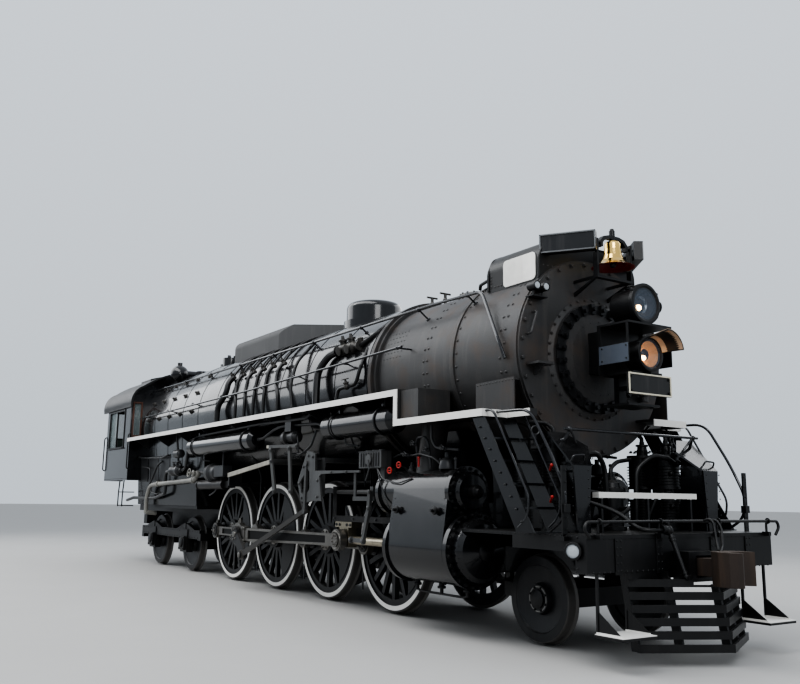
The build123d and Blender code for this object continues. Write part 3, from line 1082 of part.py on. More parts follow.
# Pilot of slats on ribs, and a step at each end of the beam.
PILOT_NOSE_X = 8560.0
PILOT_HALF = 830.0
PILOT_SWEEP = 440.0
PILOT_LOW_Z = 130.0
SLATS = 6
SLAT_STEP = (26.0, 118.0)
SLAT_HIGH = 74.0
SLAT_DEEP = 32.0
RIB_HALF = 14.0
RIB_YS = (-800.0, -420.0, 0.0, 420.0, 800.0)
RIB_TOP_Z = DECK_Z - BEAM_DEPTH
# A rib's outline: distance back from the nose line, height.
RIB = [(30, PILOT_LOW_Z), (170, RIB_TOP_Z - 66), (230, RIB_TOP_Z), (260, RIB_TOP_Z), (130, PILOT_LOW_Z)]
pilot = block((BEAM_X[0] + 40, BEAM_X[1] - CUT), about(0, PILOT_HALF - CUT), (RIB_TOP_Z - 75, RIB_TOP_Z))
for n in range(SLATS):
    nose, z = PILOT_NOSE_X - n * SLAT_STEP[0], PILOT_LOW_Z + n * SLAT_STEP[1]
    tips = [(nose - PILOT_SWEEP, PILOT_HALF), (nose - PILOT_SWEEP - SLAT_DEEP, PILOT_HALF), (nose - SLAT_DEEP, 0)]
    pilot += plate_xy([(nose, 0)] + tips + [(x, -y) for x, y in reversed(tips[:2])], (z, z + SLAT_HIGH))
for y in RIB_YS:
    back = abs(y) * PILOT_SWEEP / PILOT_HALF
    pilot += plate_xz([(PILOT_NOSE_X - out - back, z) for out, z in RIB], about(y, RIB_HALF))
    pilot += block((BEAM_X[1] - 60, PILOT_NOSE_X - 190 - back), about(y, RIB_HALF), (RIB_TOP_Z - 66, RIB_TOP_Z))
pilot -= block((BEAM_X[1] - CUT, COUPLER_TIP_X), about(0, POCKET_HALF + CUT), (POCKET_Z[0] - 20, RIB_TOP_Z + CUT))
# A step at each side of the pilot hangs from the beam by two bars with gussets.
FOOT_STEP = ((8016.0, 8360.0), (860.0, 1310.0), (295.0, 325.0))
FOOT_HANGER_X = 8030.0
FOOT_HANGER_YS = (892.0, 1278.0)
FOOT_HANGER_HALF = 12.0
FOOT_GUSSET_HALF = 5.0
FOOT_GUSSET = [(8040.0, 320.0), (8330.0, 320.0), (8040.0, 520.0)]
foot_steps = []
for side in SIDES:
    foot_step = block(FOOT_STEP[0], span(side, FOOT_STEP[1]), FOOT_STEP[2])
    for y in FOOT_HANGER_YS:
        foot_step += block(about(FOOT_HANGER_X, FOOT_HANGER_HALF), span(side, about(y, FOOT_HANGER_HALF)),
                           (FOOT_STEP[2][1] - CUT, RIB_TOP_Z))
        foot_step += plate_xz(FOOT_GUSSET, span(side, about(y, FOOT_GUSSET_HALF)))
    foot_steps.append(foot_step)
save("pilot", *(pilot - front_deck).solids(), *foot_steps)

# Stairs from the running boards down to the deck.
STAIR_Y = (1130.0, 1550.0)
STRINGER = 12.0
STAIR_TOP_X = (6520.0, 6738.0)
STAIR_FOOT_X = (7230.0, 7500.0)
STAIR_STEPS = 4
TREAD_DEPTH = 210.0
TREAD_THICK = 24.0
top_z = BOARD_LOW_Z - BOARD_DEPTH
stairs = []
for side in SIDES:
    flight = block((STAIR_FOOT_X[0] - 20, STAIR_FOOT_X[1] + 20), span(side, (STAIR_Y[0] - 20, STAIR_Y[1] + STRINGER)),
                   (DECK_Z, DECK_Z + STRINGER))
    for y in STAIR_Y:
        flight += plate_xz([(STAIR_TOP_X[0], top_z), (STAIR_TOP_X[1], top_z), (STAIR_FOOT_X[1], DECK_Z),
                            (STAIR_FOOT_X[0], DECK_Z)], span(side, (y, y + STRINGER)))
    for n in range(STAIR_STEPS):
        share = (n + 1) / (STAIR_STEPS + 1)
        z = DECK_Z + share * (top_z - DECK_Z)
        x = sum(STAIR_FOOT_X) / 2 + share * (sum(STAIR_TOP_X) - sum(STAIR_FOOT_X)) / 2
        flight += block(about(x, TREAD_DEPTH / 2), span(side, (STAIR_Y[0] + STRINGER / 2, STAIR_Y[1] + STRINGER / 2)),
                        about(z, TREAD_THICK / 2))
    stairs.append(flight - running[0] - running[1])
save("front_stairs", *stairs)

# Air pumps on the deck: X, radius. Each is a lower and an upper cylinder with flanges and a rod between.
PUMP_Y = 900.0
PUMPS = [(7090.0, 140.0), (6730.0, 165.0)]
PUMP_STAGES = [(DECK_Z, 1560.0), (1680.0, 2080.0)]
PUMP_LIP = (20.0, 30.0)
PUMP_NECK = (0.55, 1500.0, 1700.0)
PUMP_CAP = (0.4, 70.0)
PUMP_BLOCKS = [((1240.0, 1530.0), 120.0), ((1720.0, 2050.0), 130.0)]
pumps = []
for side in SIDES:
    y = side * PUMP_Y
    pump = Part()
    for block_z, half in PUMP_BLOCKS:
        pump += block((PUMPS[1][0], PUMPS[0][0]), about(y, half), block_z)
    for x, r in PUMPS:
        for z0, z1 in PUMP_STAGES:
            pump += rod_z(r, x, y, (z0, z1)) + rod_z(r + PUMP_LIP[0], x, y, (z1 - PUMP_LIP[1], z1))
            pump += rod_z(r + PUMP_LIP[0], x, y, (z0, z0 + PUMP_LIP[1]))
        pump += rod_z(r * PUMP_NECK[0], x, y, PUMP_NECK[1:]) + rod_z(r * PUMP_CAP[0], x, y, from_end(PUMP_STAGES[1][1], PUMP_CAP[1]))
    pumps.append(pump)
save("air_pumps", *pumps)

# Bent shields in front of the pumps, each with one plate on its inner side.
SHIELD_X = 7620.0
SHIELD_Y = (881.0, 1138.0)
SHIELD_FOOT_Y = (940.0, 1088.0)
SHIELD_BEND_Z = 1885.0
SHIELD_TOP = (7250.0, 2245.0)
SHIELD_THICK = 20.0
SHIELD_BACK = 14.0
# The sloping part's inner edge, from the top down: X, distance out.
SHIELD_INNER = [(7252.0, 895.0), (7316.0, 815.0), (7400.0, 705.0), (7640.0, 897.0)]
SHIELD_SIDE_Y = 905.0
SHIELD_SIDE = [(7250.0, DECK_Z), (7300.0, 2130.0), (7610.0, 1880.0), (7610.0, DECK_Z)]
shields = []
for side in SIDES:
    low, high = SHIELD_Y
    foot_low, foot_high = SHIELD_FOOT_Y
    bent = plate_yz([(side * low, SHIELD_BEND_Z), (side * high, SHIELD_BEND_Z), (side * foot_high, DECK_Z),
                     (side * foot_low, DECK_Z)], (SHIELD_X - SHIELD_THICK, SHIELD_X))
    slope = plate_xz([(SHIELD_X, SHIELD_BEND_Z), SHIELD_TOP, (SHIELD_TOP[0] - SHIELD_BACK, SHIELD_TOP[1] - SHIELD_BACK),
                      (SHIELD_X - SHIELD_THICK, SHIELD_BEND_Z - SHIELD_BACK / 2)], span(side, (0, high)))
    plan = [(SHIELD_X + CUT, side * high), (SHIELD_TOP[0] - CUT, side * high)]
    plan += [(x, side * y) for x, y in SHIELD_INNER]
    bent += slope & plate_xy(plan, (DECK_Z, SHIELD_TOP[1] + CUT))
    bent += plate_xz(SHIELD_SIDE, span(side, from_end(SHIELD_SIDE_Y, SHIELD_THICK)))
    shields.append(bent)
save("pump_shields", *shields)

# White step between the shields.
WALK_X = (7510.0, 7600.0)
WALK_HALF = 770.0
WALK_Z = (1565.0, 1625.0)
WALK_LEG_Y = (-700.0, 0.0, 700.0)
WALK_LEG_HALF = (20.0, 15.0)
walk = block(WALK_X, about(0, WALK_HALF), WALK_Z)
for y in WALK_LEG_Y:
    walk += block(about(sum(WALK_X) / 2, WALK_LEG_HALF[0]), about(y, WALK_LEG_HALF[1]), (DECK_Z, WALK_Z[0] + CUT))
save("front_step", walk)

# Truck frames: their bars and boxes as X, distances from the centre plane, Z.
LEAD_BARS = [((6480.0, 6960.0), FRAME_Y, (360.0, 640.0)), ((5900.0, 6500.0), FRAME_Y, (440.0, 600.0))]
LEAD_CROSS = [((5900.0, 6000.0), FRAME_Y[1], (440.0, 600.0)), ((6860.0, 6960.0), FRAME_Y[1], (400.0, 600.0))]
LEAD_TONGUE = [(LEAD_PIVOT_X - 120.0, 120.0), (LEAD_CROSS[0][0][0] + 50.0, 420.0)]
lead_frame = plate_xy([(x, way * y) for (x, y), way in zip(LEAD_TONGUE + LEAD_TONGUE[::-1], (-1, -1, 1, 1))], LEAD_TONGUE_Z)
lead_frame += rod_z(PIVOT_BOSS_R, LEAD_PIVOT_X, 0, LEAD_TONGUE_Z)
for x, half_width, z in LEAD_CROSS:
    lead_frame += block(x, about(0, half_width), z)
for side in SIDES:
    lead_frame += total([block(x, span(side, y), z) for x, y, z in LEAD_BARS])
lead_frame -= rod_z(PIVOT_R + PIN_GAP, LEAD_PIVOT_X, 0, (LEAD_TONGUE_Z[0] - CUT, LEAD_TONGUE_Z[1] + CUT))
lead_frame -= side_hole(LEAD_AXLE_R + JOURNAL_GAP, LEAD_X, LEAD_Z)
save("lead_truck_frame", lead_frame)

TRUCK_BAR = ((-6900.0, -3150.0), (880.0, 980.0), (680.0, 860.0))
TRUCK_BOX_HALF = 190.0
TRUCK_BOX_Y = (860.0, TRAILER_END_Y)
TRUCK_BOX_Z = (400.0, 860.0)
TRUCK_CROSS = [((-3250.0, -3080.0), (660.0, 800.0)), ((-6950.0, -6800.0), (600.0, 860.0))]
TRUCK_TONGUE = [(PIVOT_X + 120.0, 130.0), (TRUCK_CROSS[0][0][1] - 20.0, 560.0)]
truck = plate_xy([(x, way * y) for (x, y), way in zip(TRUCK_TONGUE + TRUCK_TONGUE[::-1], (-1, -1, 1, 1))], TONGUE_Z)
truck += rod_z(PIVOT_BOSS_R, PIVOT_X, 0, TONGUE_Z)
for x, z in TRUCK_CROSS:
    truck += block(x, about(0, TRUCK_BAR[1][1]), z)
for side in SIDES:
    truck += block(TRUCK_BAR[0], span(side, TRUCK_BAR[1]), TRUCK_BAR[2])
    for x in TRAILER_X:
        truck += block(about(x, TRUCK_BOX_HALF), span(side, TRUCK_BOX_Y), TRUCK_BOX_Z)
truck -= rod_z(PIVOT_R + PIN_GAP, PIVOT_X, 0, (TONGUE_Z[0] - CUT, TONGUE_Z[1] + CUT))
for x in TRAILER_X:
    truck -= side_hole(TRAILER_AXLE_R + JOURNAL_GAP, x, TRAILER_Z)
save("trailing_truck_frame", truck)

# Ashpan under the firebox, between the truck's wheels: the grate's ring, the pan and its hopper.
PAN_HALF = FRAME_Y[0] - CUT
PAN_X = (-6350.0, -3450.0)
PAN_Z = (880.0, MUD_RING_Z)
RING_X = (-6600.0, -2900.0)
RING_HALF = 1150.0
RING_THICK = 60.0
HOPPER = [(-5500.0, 400.0), (-4560.0, 400.0), (-4300.0, PAN_Z[0] + 20), (-5780.0, PAN_Z[0] + 20)]
HOPPER_HALF = 430.0
ashpan = block(PAN_X, about(0, PAN_HALF), PAN_Z) + plate_xz(HOPPER, about(0, HOPPER_HALF))
ashpan += block(RING_X, about(0, RING_HALF), (MUD_RING_Z - RING_THICK, MUD_RING_Z))
save("ashpan", biggest(ashpan - rear - bed))

# Guides with their yokes, crossheads with the piston rods. Guide pieces: X, distances from the centre plane, Z.
YOKE_X = (2810.0, 2930.0)
GUIDE_Y = (1080.0, 1220.0)
GUIDE_END_X = 4650.0
GUIDE_Z = (1210.0, 1290.0)
GUIDES = [
    ((YOKE_X[0], GUIDE_END_X), GUIDE_Y, GUIDE_Z),
    (YOKE_X, GUIDE_Y, (GUIDE_Z[0], 1440.0)),
    (YOKE_X, (FRAME_Y[0], GUIDE_Y[1]), (1430.0, 1700.0)),
    (YOKE_X, FRAME_Y, (FRAME_Z[1], 1440.0)),
]
SHOE_HALF = 230.0
SHOE_Z = (1130.0, GUIDE_Z[0] - SIDE_GAP)
BODY_HALF = 130.0
BODY_Z = (860.0, 1140.0)
PISTON_ROD_R = 58.0
PISTON_ROD_END_X = 4520.0
guides = []
crossheads = []
for side in SIDES:
    wrist = main_rod_ends(side)[1][0]
    guides.append(total([block(x, span(side, y), z) for x, y, z in GUIDES]) - cylinders)
    cross = block(about(wrist, SHOE_HALF), span(side, (GUIDE_Y[0] - CUT, GUIDE_Y[1] + CUT)), SHOE_Z)
    cross += block(about(wrist, BODY_HALF), span(side, GUIDE_Y), BODY_Z)
    cross += rod_x(PISTON_ROD_R, (wrist + BODY_HALF - CUT, PISTON_ROD_END_X), side * CYLINDER_Y, CYLINDER_Z)
    crossheads.append(cross - cylinders)
save("crosshead_guides", *guides)
save("crossheads", *crossheads)

# Valve gear: an outer and an inner frame plate on each side. Outline and window in X and Z.
GEAR_FRAME = [(2270, 1760), (2390, 1490), (2540, 1460), (2720, 1490), (3030, 1490), (2950, 1840), (3020, 1870), (4070, 1870),
              (4070, 1900), (2820, 1920), (2810, 2160), (2680, 2200), (2550, 2210), (2430, 2020)]
GEAR_WINDOW = [(2350, 1760), (2400, 1610), (2530, 1560), (2660, 1660), (2640, 1910), (2580, 1950)]
GEAR_BACK = [(2390, 1560), (2540, 1500), (2880, 1560), (2880, 2110), (2560, 2110), (2440, 1800)]
GEAR_IN_Y = (1390.0, 1410.0)
GEAR_OUT_Y = (1500.0, 1530.0)
GEAR_RIDGE_Y = (GEAR_OUT_Y[0] + 4, GEAR_OUT_Y[1] + 16)
GEAR_LINK = ((2525, 1320), (2545, 2030), (34.0, 24.0))
GEAR_PINS = [(2525, 1345, 44.0), (2548, 2030, 46.0)]
# Spacers and ties: X, distances from the centre plane, Z.
GEAR_TIES = [
    ((2842.0, 2880.0), (GEAR_IN_Y[0], GEAR_OUT_Y[1]), (1560.0, 1920.0)),
    ((2600.0, 2800.0), (GEAR_IN_Y[0], GEAR_OUT_Y[1]), (2075.0, 2110.0)),
    ((2600.0, 2880.0), (FRAME_Y[0], GEAR_IN_Y[1]), (2040.0, 2110.0)),
    ((2842.0, 2900.0), FRAME_Y, (1700.0, 2110.0)),
]
COMBINATION_Y = (1400.0, 1440.0)
GUIDE_GAP = 6.0
LEVER_Y = (COMBINATION_Y[0], COMBINATION_Y[0] + 26.0)
STEM_R = 34.0
STEM_X = (YOKE_X[1], CHEST_X[0] - CHEST_BACK[-1][0])
# The valve stem's guide: X, distances from the centre plane, Z over the stem.
STEM_GUIDE_Y = (MAIN_ROD_Y[1] + WRIST_CAP_END + GUIDE_GAP, COMBINATION_Y[0] - SIDE_GAP)
STEM_GUIDE = [
    ((3680.0, 4240.0), STEM_GUIDE_Y, (-120.0, -60.0)),
    ((3700.0, 3760.0), STEM_GUIDE_Y, (-120.0, 275.0)),
    ((4130.0, 4210.0), (1140.0, STEM_GUIDE_Y[1]), (-120.0, 70.0)),
    ((3720.0, 3760.0), (STEM_GUIDE_Y[0], GEAR_OUT_Y[1]), (252.0, 275.0)),
]
# The combination lever's joints in X and Z, from the stem down to the crosshead's arm, and its half widths.
COMBINATION = [(4170, CHEST_Z), (4150, 1410), (4015, 984), (3700, 984)]
COMBINATION_HALF = [(36, 36), (36, 26), (28, 28)]
gear = []
for side in SIDES:
    plate = plate_xz(GEAR_FRAME, span(side, GEAR_OUT_Y))
    plate -= plate_xz(GEAR_WINDOW, span(side, (GEAR_OUT_Y[0] - CUT, GEAR_OUT_Y[1] + CUT)))
    plate += bar_between(*GEAR_LINK[:2], *GEAR_LINK[2], span(side, GEAR_RIDGE_Y))
    for x, z, r in GEAR_PINS:
        plate += rod_y(r, x, span(side, (GEAR_RIDGE_Y[0], GEAR_RIDGE_Y[1] + 8)), z)
    plate += plate_xz(GEAR_BACK, span(side, GEAR_IN_Y))
    plate += total([block(x, span(side, y), z) for x, y, z in GEAR_TIES])
    stem = rod_x(STEM_R, STEM_X, side * CHEST_Y, CHEST_Z)
    stem += rod_y(26, COMBINATION[0][0], span(side, (CHEST_Y, COMBINATION_Y[1])), CHEST_Z)
    for x, y, z in STEM_GUIDE:
        stem += block(x, span(side, y), (CHEST_Z + z[0], CHEST_Z + z[1]))
    for a, b, halves in zip(COMBINATION, COMBINATION[1:], COMBINATION_HALF):
        stem += bar_between(a, b, *halves, span(side, LEVER_Y if a is COMBINATION[2] else COMBINATION_Y))
    for x, z in COMBINATION[1:]:
        stem += rod_y(44, x, span(side, (COMBINATION_Y[0], COMBINATION_Y[0] + 34)), z)
    gear.append(plate + stem - cylinders - guides[0] - guides[1] - boiler - tanks[0] - tanks[1] - tanks[2] - tanks[3])
save("valve_gear", *gear)

# Mechanical lubricators over the chests' back ends: a ribbed box on a bracket.
OILER_X = (3970.0, 4530.0)
OILER_Y = (1320.0, 1480.0)
OILER_Z = (1925.0, 2140.0)
OILER_FOOT_X = (4420.0, 4520.0)
OILER_WHEEL = (4250.0, 70.0, 30.0)
OILER_CAPS = (4080.0, 4250.0, 4420.0)
OILER_CAP = (38.0, 24.0)
oilers = []
for side in SIDES:
    oiler = block(OILER_X, span(side, OILER_Y), OILER_Z)
    oiler += block(OILER_FOOT_X, span(side, (CHEST_Y + 60, OILER_Y[1] - 60)), (CHEST_Z, OILER_Z[0]))
    oiler += rod_y(OILER_WHEEL[1], OILER_WHEEL[0], span(side, (OILER_Y[1] - CUT, OILER_Y[1] + OILER_WHEEL[2])),
                   sum(OILER_Z) / 2)
    for x in OILER_CAPS:
        oiler += rod_z(OILER_CAP[0], x, side * sum(OILER_Y) / 2, from_end(OILER_Z[1] - CUT, CUT + OILER_CAP[1]))
    oilers.append(oiler - cylinders - gear[0] - gear[1])
save("lubricators", *oilers)

# Reverse gear: a steam cylinder on a bracket of the frame between the last driving wheels, with its piston rod.
REVERSE_X = (-2400.0, -1100.0)
REVERSE_Y = 1300.0
REVERSE_Z = 1760.0
REVERSE_R = 90.0
REVERSE_ROD = (28.0, -400.0)
REVERSE_ARM = ((-460.0, -400.0), (1280.0, 1515.0), (1730.0, 1950.0))
BRACKET_X = (-960.0, -900.0)
BRACKET_Z = (1725.0, 1795.0)
BRACKET_PAD = ((-1100.0, -900.0), (1190.0, 1330.0), (1700.0, 1820.0))
reverse = []
for side in SIDES:
    y = side * REVERSE_Y
    gear_cylinder = rod_x(REVERSE_R, REVERSE_X, y, REVERSE_Z)
    for end, way in zip(REVERSE_X, (-1, 1)):
        gear_cylinder += rod_x(REVERSE_R + CUT, from_end(end, -way * 40), y, REVERSE_Z)
    gear_cylinder += rod_x(REVERSE_ROD[0], (REVERSE_X[1] - CUT, REVERSE_ROD[1]), y, REVERSE_Z)
    for x, out, z in (REVERSE_ARM, BRACKET_PAD):
        gear_cylinder += block(x, span(side, out), z)
    gear_cylinder += block(BRACKET_X, span(side, (FRAME_Y[0], BRACKET_PAD[1][0] + CUT)), BRACKET_Z)
    gear_cylinder += block(BRACKET_X, span(side, FRAME_Y), (FRAME_Z[1], BRACKET_Z[1]))
    reverse.append(gear_cylinder - boiler)
save("reverse_gear", *reverse)

# Reach rods from the reverse gear to the levers by the valve gear. Bars: ends in X and Z, half widths, Y.
REACH_SHAFT = (1450.0, 2090.0, 45.0)
REACH_BARS = [
    ((-420, 1910), (1400, 2100), (38.0, 34.0), (1515.0, 1545.0)),
    ((1332, 2320), (1550, 1600), (40.0, 46.0), (1540.0, 1570.0)),
    ((2014, 2300), (2110, 1600), (40.0, 46.0), (1540.0, 1570.0)),
    ((1200, 2330), (2310, 2300), (24.0, 24.0), (1540.0, 1565.0)),
]
reach = []
for side in SIDES:
    rods = total([bar_between(a, b, *halves, span(side, y)) for a, b, halves, y in REACH_BARS])
    rods += rod_y(REACH_SHAFT[2], REACH_SHAFT[0] - 50, span(side, (FRAME_Y[0], REACH_BARS[1][3][1])), REACH_SHAFT[1])
    rods = rods - boiler - reverse[0] - reverse[1] - gear[0] - gear[1]
    for tank in tanks:
        rods -= tank
    reach.append(biggest(rods))
save("reach_rods", *reach)
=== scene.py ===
"""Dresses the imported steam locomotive: materials, pipes, rails, bolts, lamps, light and camera.

Metres, +X forward, +Z up. The engineer's right-hand side, which the camera sees, is -Y.
"""
import json
import math

import bpy
from mathutils import Matrix, Vector


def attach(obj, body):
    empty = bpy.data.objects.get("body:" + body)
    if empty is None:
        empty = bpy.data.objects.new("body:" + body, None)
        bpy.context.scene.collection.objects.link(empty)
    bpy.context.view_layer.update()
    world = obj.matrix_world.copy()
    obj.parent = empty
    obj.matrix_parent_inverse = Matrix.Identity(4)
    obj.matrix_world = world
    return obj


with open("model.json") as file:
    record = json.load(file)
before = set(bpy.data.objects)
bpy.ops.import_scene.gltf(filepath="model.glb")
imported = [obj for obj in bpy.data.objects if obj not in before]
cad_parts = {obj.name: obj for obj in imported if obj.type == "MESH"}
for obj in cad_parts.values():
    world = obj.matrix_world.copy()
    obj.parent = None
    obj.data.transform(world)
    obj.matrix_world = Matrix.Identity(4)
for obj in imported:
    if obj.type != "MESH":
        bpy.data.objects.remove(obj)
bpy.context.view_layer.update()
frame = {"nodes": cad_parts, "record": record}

# Sizes shared with the solids.
DRIVER_XS = [3.8 - 1.854 * n for n in range(4)]
DRIVER_Z = 0.904
DRIVER_R = 0.876
LEAD = (6.72, 0.485, 0.457)
TRAILERS = [(-4.0, 0.574, 0.546), (-6.08, 0.574, 0.546)]
BOILER_Z = 3.20
SMOKEBOX_R = 1.15
HEADLIGHT_Z, LOW_LAMP_Z = 3.695, 3.125
COURSE_R = 1.118
JACKET_END_X = 3.70
BOARD_Z = 2.87
DOOR_Z = 3.17
BELL_X = 7.19


def boiler_at(x, degrees, out=0.0):
    """A point on the boiler's skin: degrees are counted from the top, minus to the right-hand side."""
    if x > 5.6:
        z, r = BOILER_Z, SMOKEBOX_R
    elif x > JACKET_END_X:
        z, r = BOILER_Z, COURSE_R
    else:
        t = min(1.0, (JACKET_END_X - x) / 6.1)
        z, r = BOILER_Z - 0.08 * t, 1.20 + 0.09 * t
    a = math.radians(degrees)
    return Vector((x, (r + out) * math.sin(a), z + (r + out) * math.cos(a)))


def circle(at, u, v, r, count):
    """Points of a circle in the plane of two unit vectors."""
    turns = [2 * math.pi * i / count for i in range(count)]
    return [at + u * (r * math.cos(t)) + v * (r * math.sin(t)) for t in turns]


class Shape:
    """Gathers plain forms into one mesh."""

    def __init__(self, both=False):
        """With both set, each form is added on the left-hand side and mirrored on the right-hand side."""
        self.verts = []
        self.faces = []
        self.both = both

    def add(self, verts, faces):
        verts = [tuple(v) for v in verts]
        base = len(self.verts)
        self.verts.extend(verts)
        self.faces.extend(tuple(base + i for i in f) for f in faces)
        if self.both:
            base += len(verts)
            self.verts.extend((x, -y, z) for x, y, z in verts)
            self.faces.extend(tuple(base + i for i in reversed(f)) for f in faces)

    def rings(self, rings, cap=True, closed=False):
        n = len(rings[0])
        verts = [p for ring in rings for p in ring]
        faces = []
        count = len(rings)
        for k in range(count if closed else count - 1):
            a, b = k * n, ((k + 1) % count) * n
            for i in range(n):
                j = (i + 1) % n
                faces.append((a + i, a + j, b + j, b + i))
        if cap and not closed:
            faces.append(tuple(range(n - 1, -1, -1)))
            faces.append(tuple((count - 1) * n + i for i in range(n)))
        self.add(verts, faces)

    def lathe(self, origin, axis, profile, seg=32, cap=True):
        """Turned form. The profile has (distance along the axis, radius) pairs."""
        origin = Vector(origin)
        axis = Vector(axis).normalized()
        side = axis.orthogonal().normalized()
        other = axis.cross(side)
        rings = []
        for t, r in profile:
            r = max(r, 1e-4)
            rings.append(circle(origin + axis * t, side, other, r, seg))
        self.rings(rings, cap)

    def rod(self, a, b, r, r2=None, seg=16):
        a, b = Vector(a), Vector(b)
        length = (b - a).length
        self.lathe(a, b - a, [(0, r), (length, r if r2 is None else r2)], seg)

    def ball(self, at, r, seg=16):
        steps = seg // 2
        profile = [(-r * math.cos(math.pi * k / steps),
                    r * math.sin(math.pi * k / steps)) for k in range(steps + 1)]
        self.lathe(at, (0, 0, 1), profile, seg)

    def hoop(self, at, axis, big, small, seg=48, ring=10):
        at = Vector(at)
        axis = Vector(axis).normalized()
        side = axis.orthogonal().normalized()
        other = axis.cross(side)
        rings = []
        for k in range(seg):
            a = 2 * math.pi * k / seg
            out = side * math.cos(a) + other * math.sin(a)
            rings.append(circle(at + out * big, out, axis, small, ring))
        self.rings(rings, closed=True)

    def box(self, low, high):
        x0, y0, z0 = (min(a, b) for a, b in zip(low, high))
        x1, y1, z1 = (max(a, b) for a, b in zip(low, high))
        verts = [(x, y, z) for x in (x0, x1) for y in (y0, y1) for z in (z0, z1)]
        self.add(verts, [(0, 1, 3, 2), (4, 6, 7, 5), (0, 4, 5, 1), (2, 3, 7, 6), (0, 2, 6, 4),
                         (1, 5, 7, 3)])

    def slab(self, outline, a, b):
        """A flat outline given at one end by a function of a parameter, repeated at two parameters."""
        n = len(outline(a))
        verts = list(outline(a)) + list(outline(b))
        faces = [tuple(range(n - 1, -1, -1)), tuple(range(n, 2 * n))]
        faces += [(i, (i + 1) % n, n + (i + 1) % n, n + i) for i in range(n)]
        self.add(verts, faces)

    def bolt(self, at, normal, r=0.018, h=0.02):
        at, normal = Vector(at), Vector(normal).normalized()
        self.lathe(at - normal * 0.004, normal, [(0, r * 1.35), (0.008, r * 1.35)], 12)
        self.lathe(at, normal, [(0, r), (h * 0.85, r), (h, r * 0.8)], 6)

    def rivet(self, at, normal, r=0.014):
        self.lathe(Vector(at) - Vector(normal).normalized() * 0.003, normal,
                   [(0, r), (r * 0.45, r * 0.85), (r * 0.75, r * 0.45), (r * 0.8, 0.0)], 8)

    def tube(self, points, r, bend=0.1, seg=10, cap=True):
        """A round pipe through these points, with its corners rounded."""
        path = rounded([Vector(p) for p in points], bend)
        up = (path[1] - path[0]).orthogonal().normalized()
        rings = []
        for k, p in enumerate(path):
            if k == 0:
                d = path[1] - path[0]
            elif k == len(path) - 1:
                d = path[-1] - path[-2]
            else:
                d = (path[k + 1] - p).normalized() + (p - path[k - 1]).normalized()
            d = d.normalized()
            up = (up - d * up.dot(d)).normalized()
            side = d.cross(up)
            rings.append(circle(p, up, side, r, seg))
        self.rings(rings, cap)


def rounded(points, bend, steps=6):
    """The same path with each corner turned into a short arc."""
    if len(points) < 3:
        return points
    path = [points[0]]
    for a, p, b in zip(points, points[1:], points[2:]):
        u, v = (a - p), (b - p)
        reach = min(bend, u.length * 0.48, v.length * 0.48)
        start, end = p + u.normalized() * reach, p + v.normalized() * reach
        for k in range(steps + 1):
            t = k / steps
            path.append(start * (1 - t) ** 2 + p * (2 * t * (1 - t)) + end * t ** 2)
    path.append(points[-1])
    return path


# Materials.
def nodes_of(name):
    m = bpy.data.materials.new(name)
    m.use_nodes = True
    nt = m.node_tree
    nt.nodes.clear()
    out = nt.nodes.new("ShaderNodeOutputMaterial")
    bsdf = nt.nodes.new("ShaderNodeBsdfPrincipled")
    nt.links.new(bsdf.outputs[0], out.inputs[0])
    return m, nt, bsdf


def math_node(nt, op, a, b=None, clamp=False):
    n = nt.nodes.new("ShaderNodeMath")
    n.operation = op
    n.use_clamp = clamp
    for i, v in enumerate((a, b)):
        if v is None:
            continue
        if isinstance(v, (int, float)):
            n.inputs[i].default_value = v
        else:
            nt.links.new(v, n.inputs[i])
    return n.outputs[0]


def mix_color(nt, fac, a, b):
    n = nt.nodes.new("ShaderNodeMix")
    n.data_type = "RGBA"
    for key, v in ((0, fac), (6, a), (7, b)):
        if isinstance(v, (int, float)):
            n.inputs[key].default_value = v
        elif isinstance(v, tuple):
            n.inputs[key].default_value = (*v, 1.0)
        else:
            nt.links.new(v, n.inputs[key])
    return n.outputs[2]


def noise(nt, vector, scale, detail=6.0, rough=0.55):
    n = nt.nodes.new("ShaderNodeTexNoise")
    n.inputs["Scale"].default_value = scale
    n.inputs["Detail"].default_value = detail
    n.inputs["Roughness"].default_value = rough
    nt.links.new(vector, n.inputs["Vector"])
    return n.outputs["Fac"]


def ramp(nt, value, low, high):
    """Turns a value into 0 below low and 1 above high."""
    n = nt.nodes.new("ShaderNodeMapRange")
    n.inputs["From Min"].default_value = low
    n.inputs["From Max"].default_value = high
    nt.links.new(value, n.inputs["Value"])
    return n.outputs["Result"]


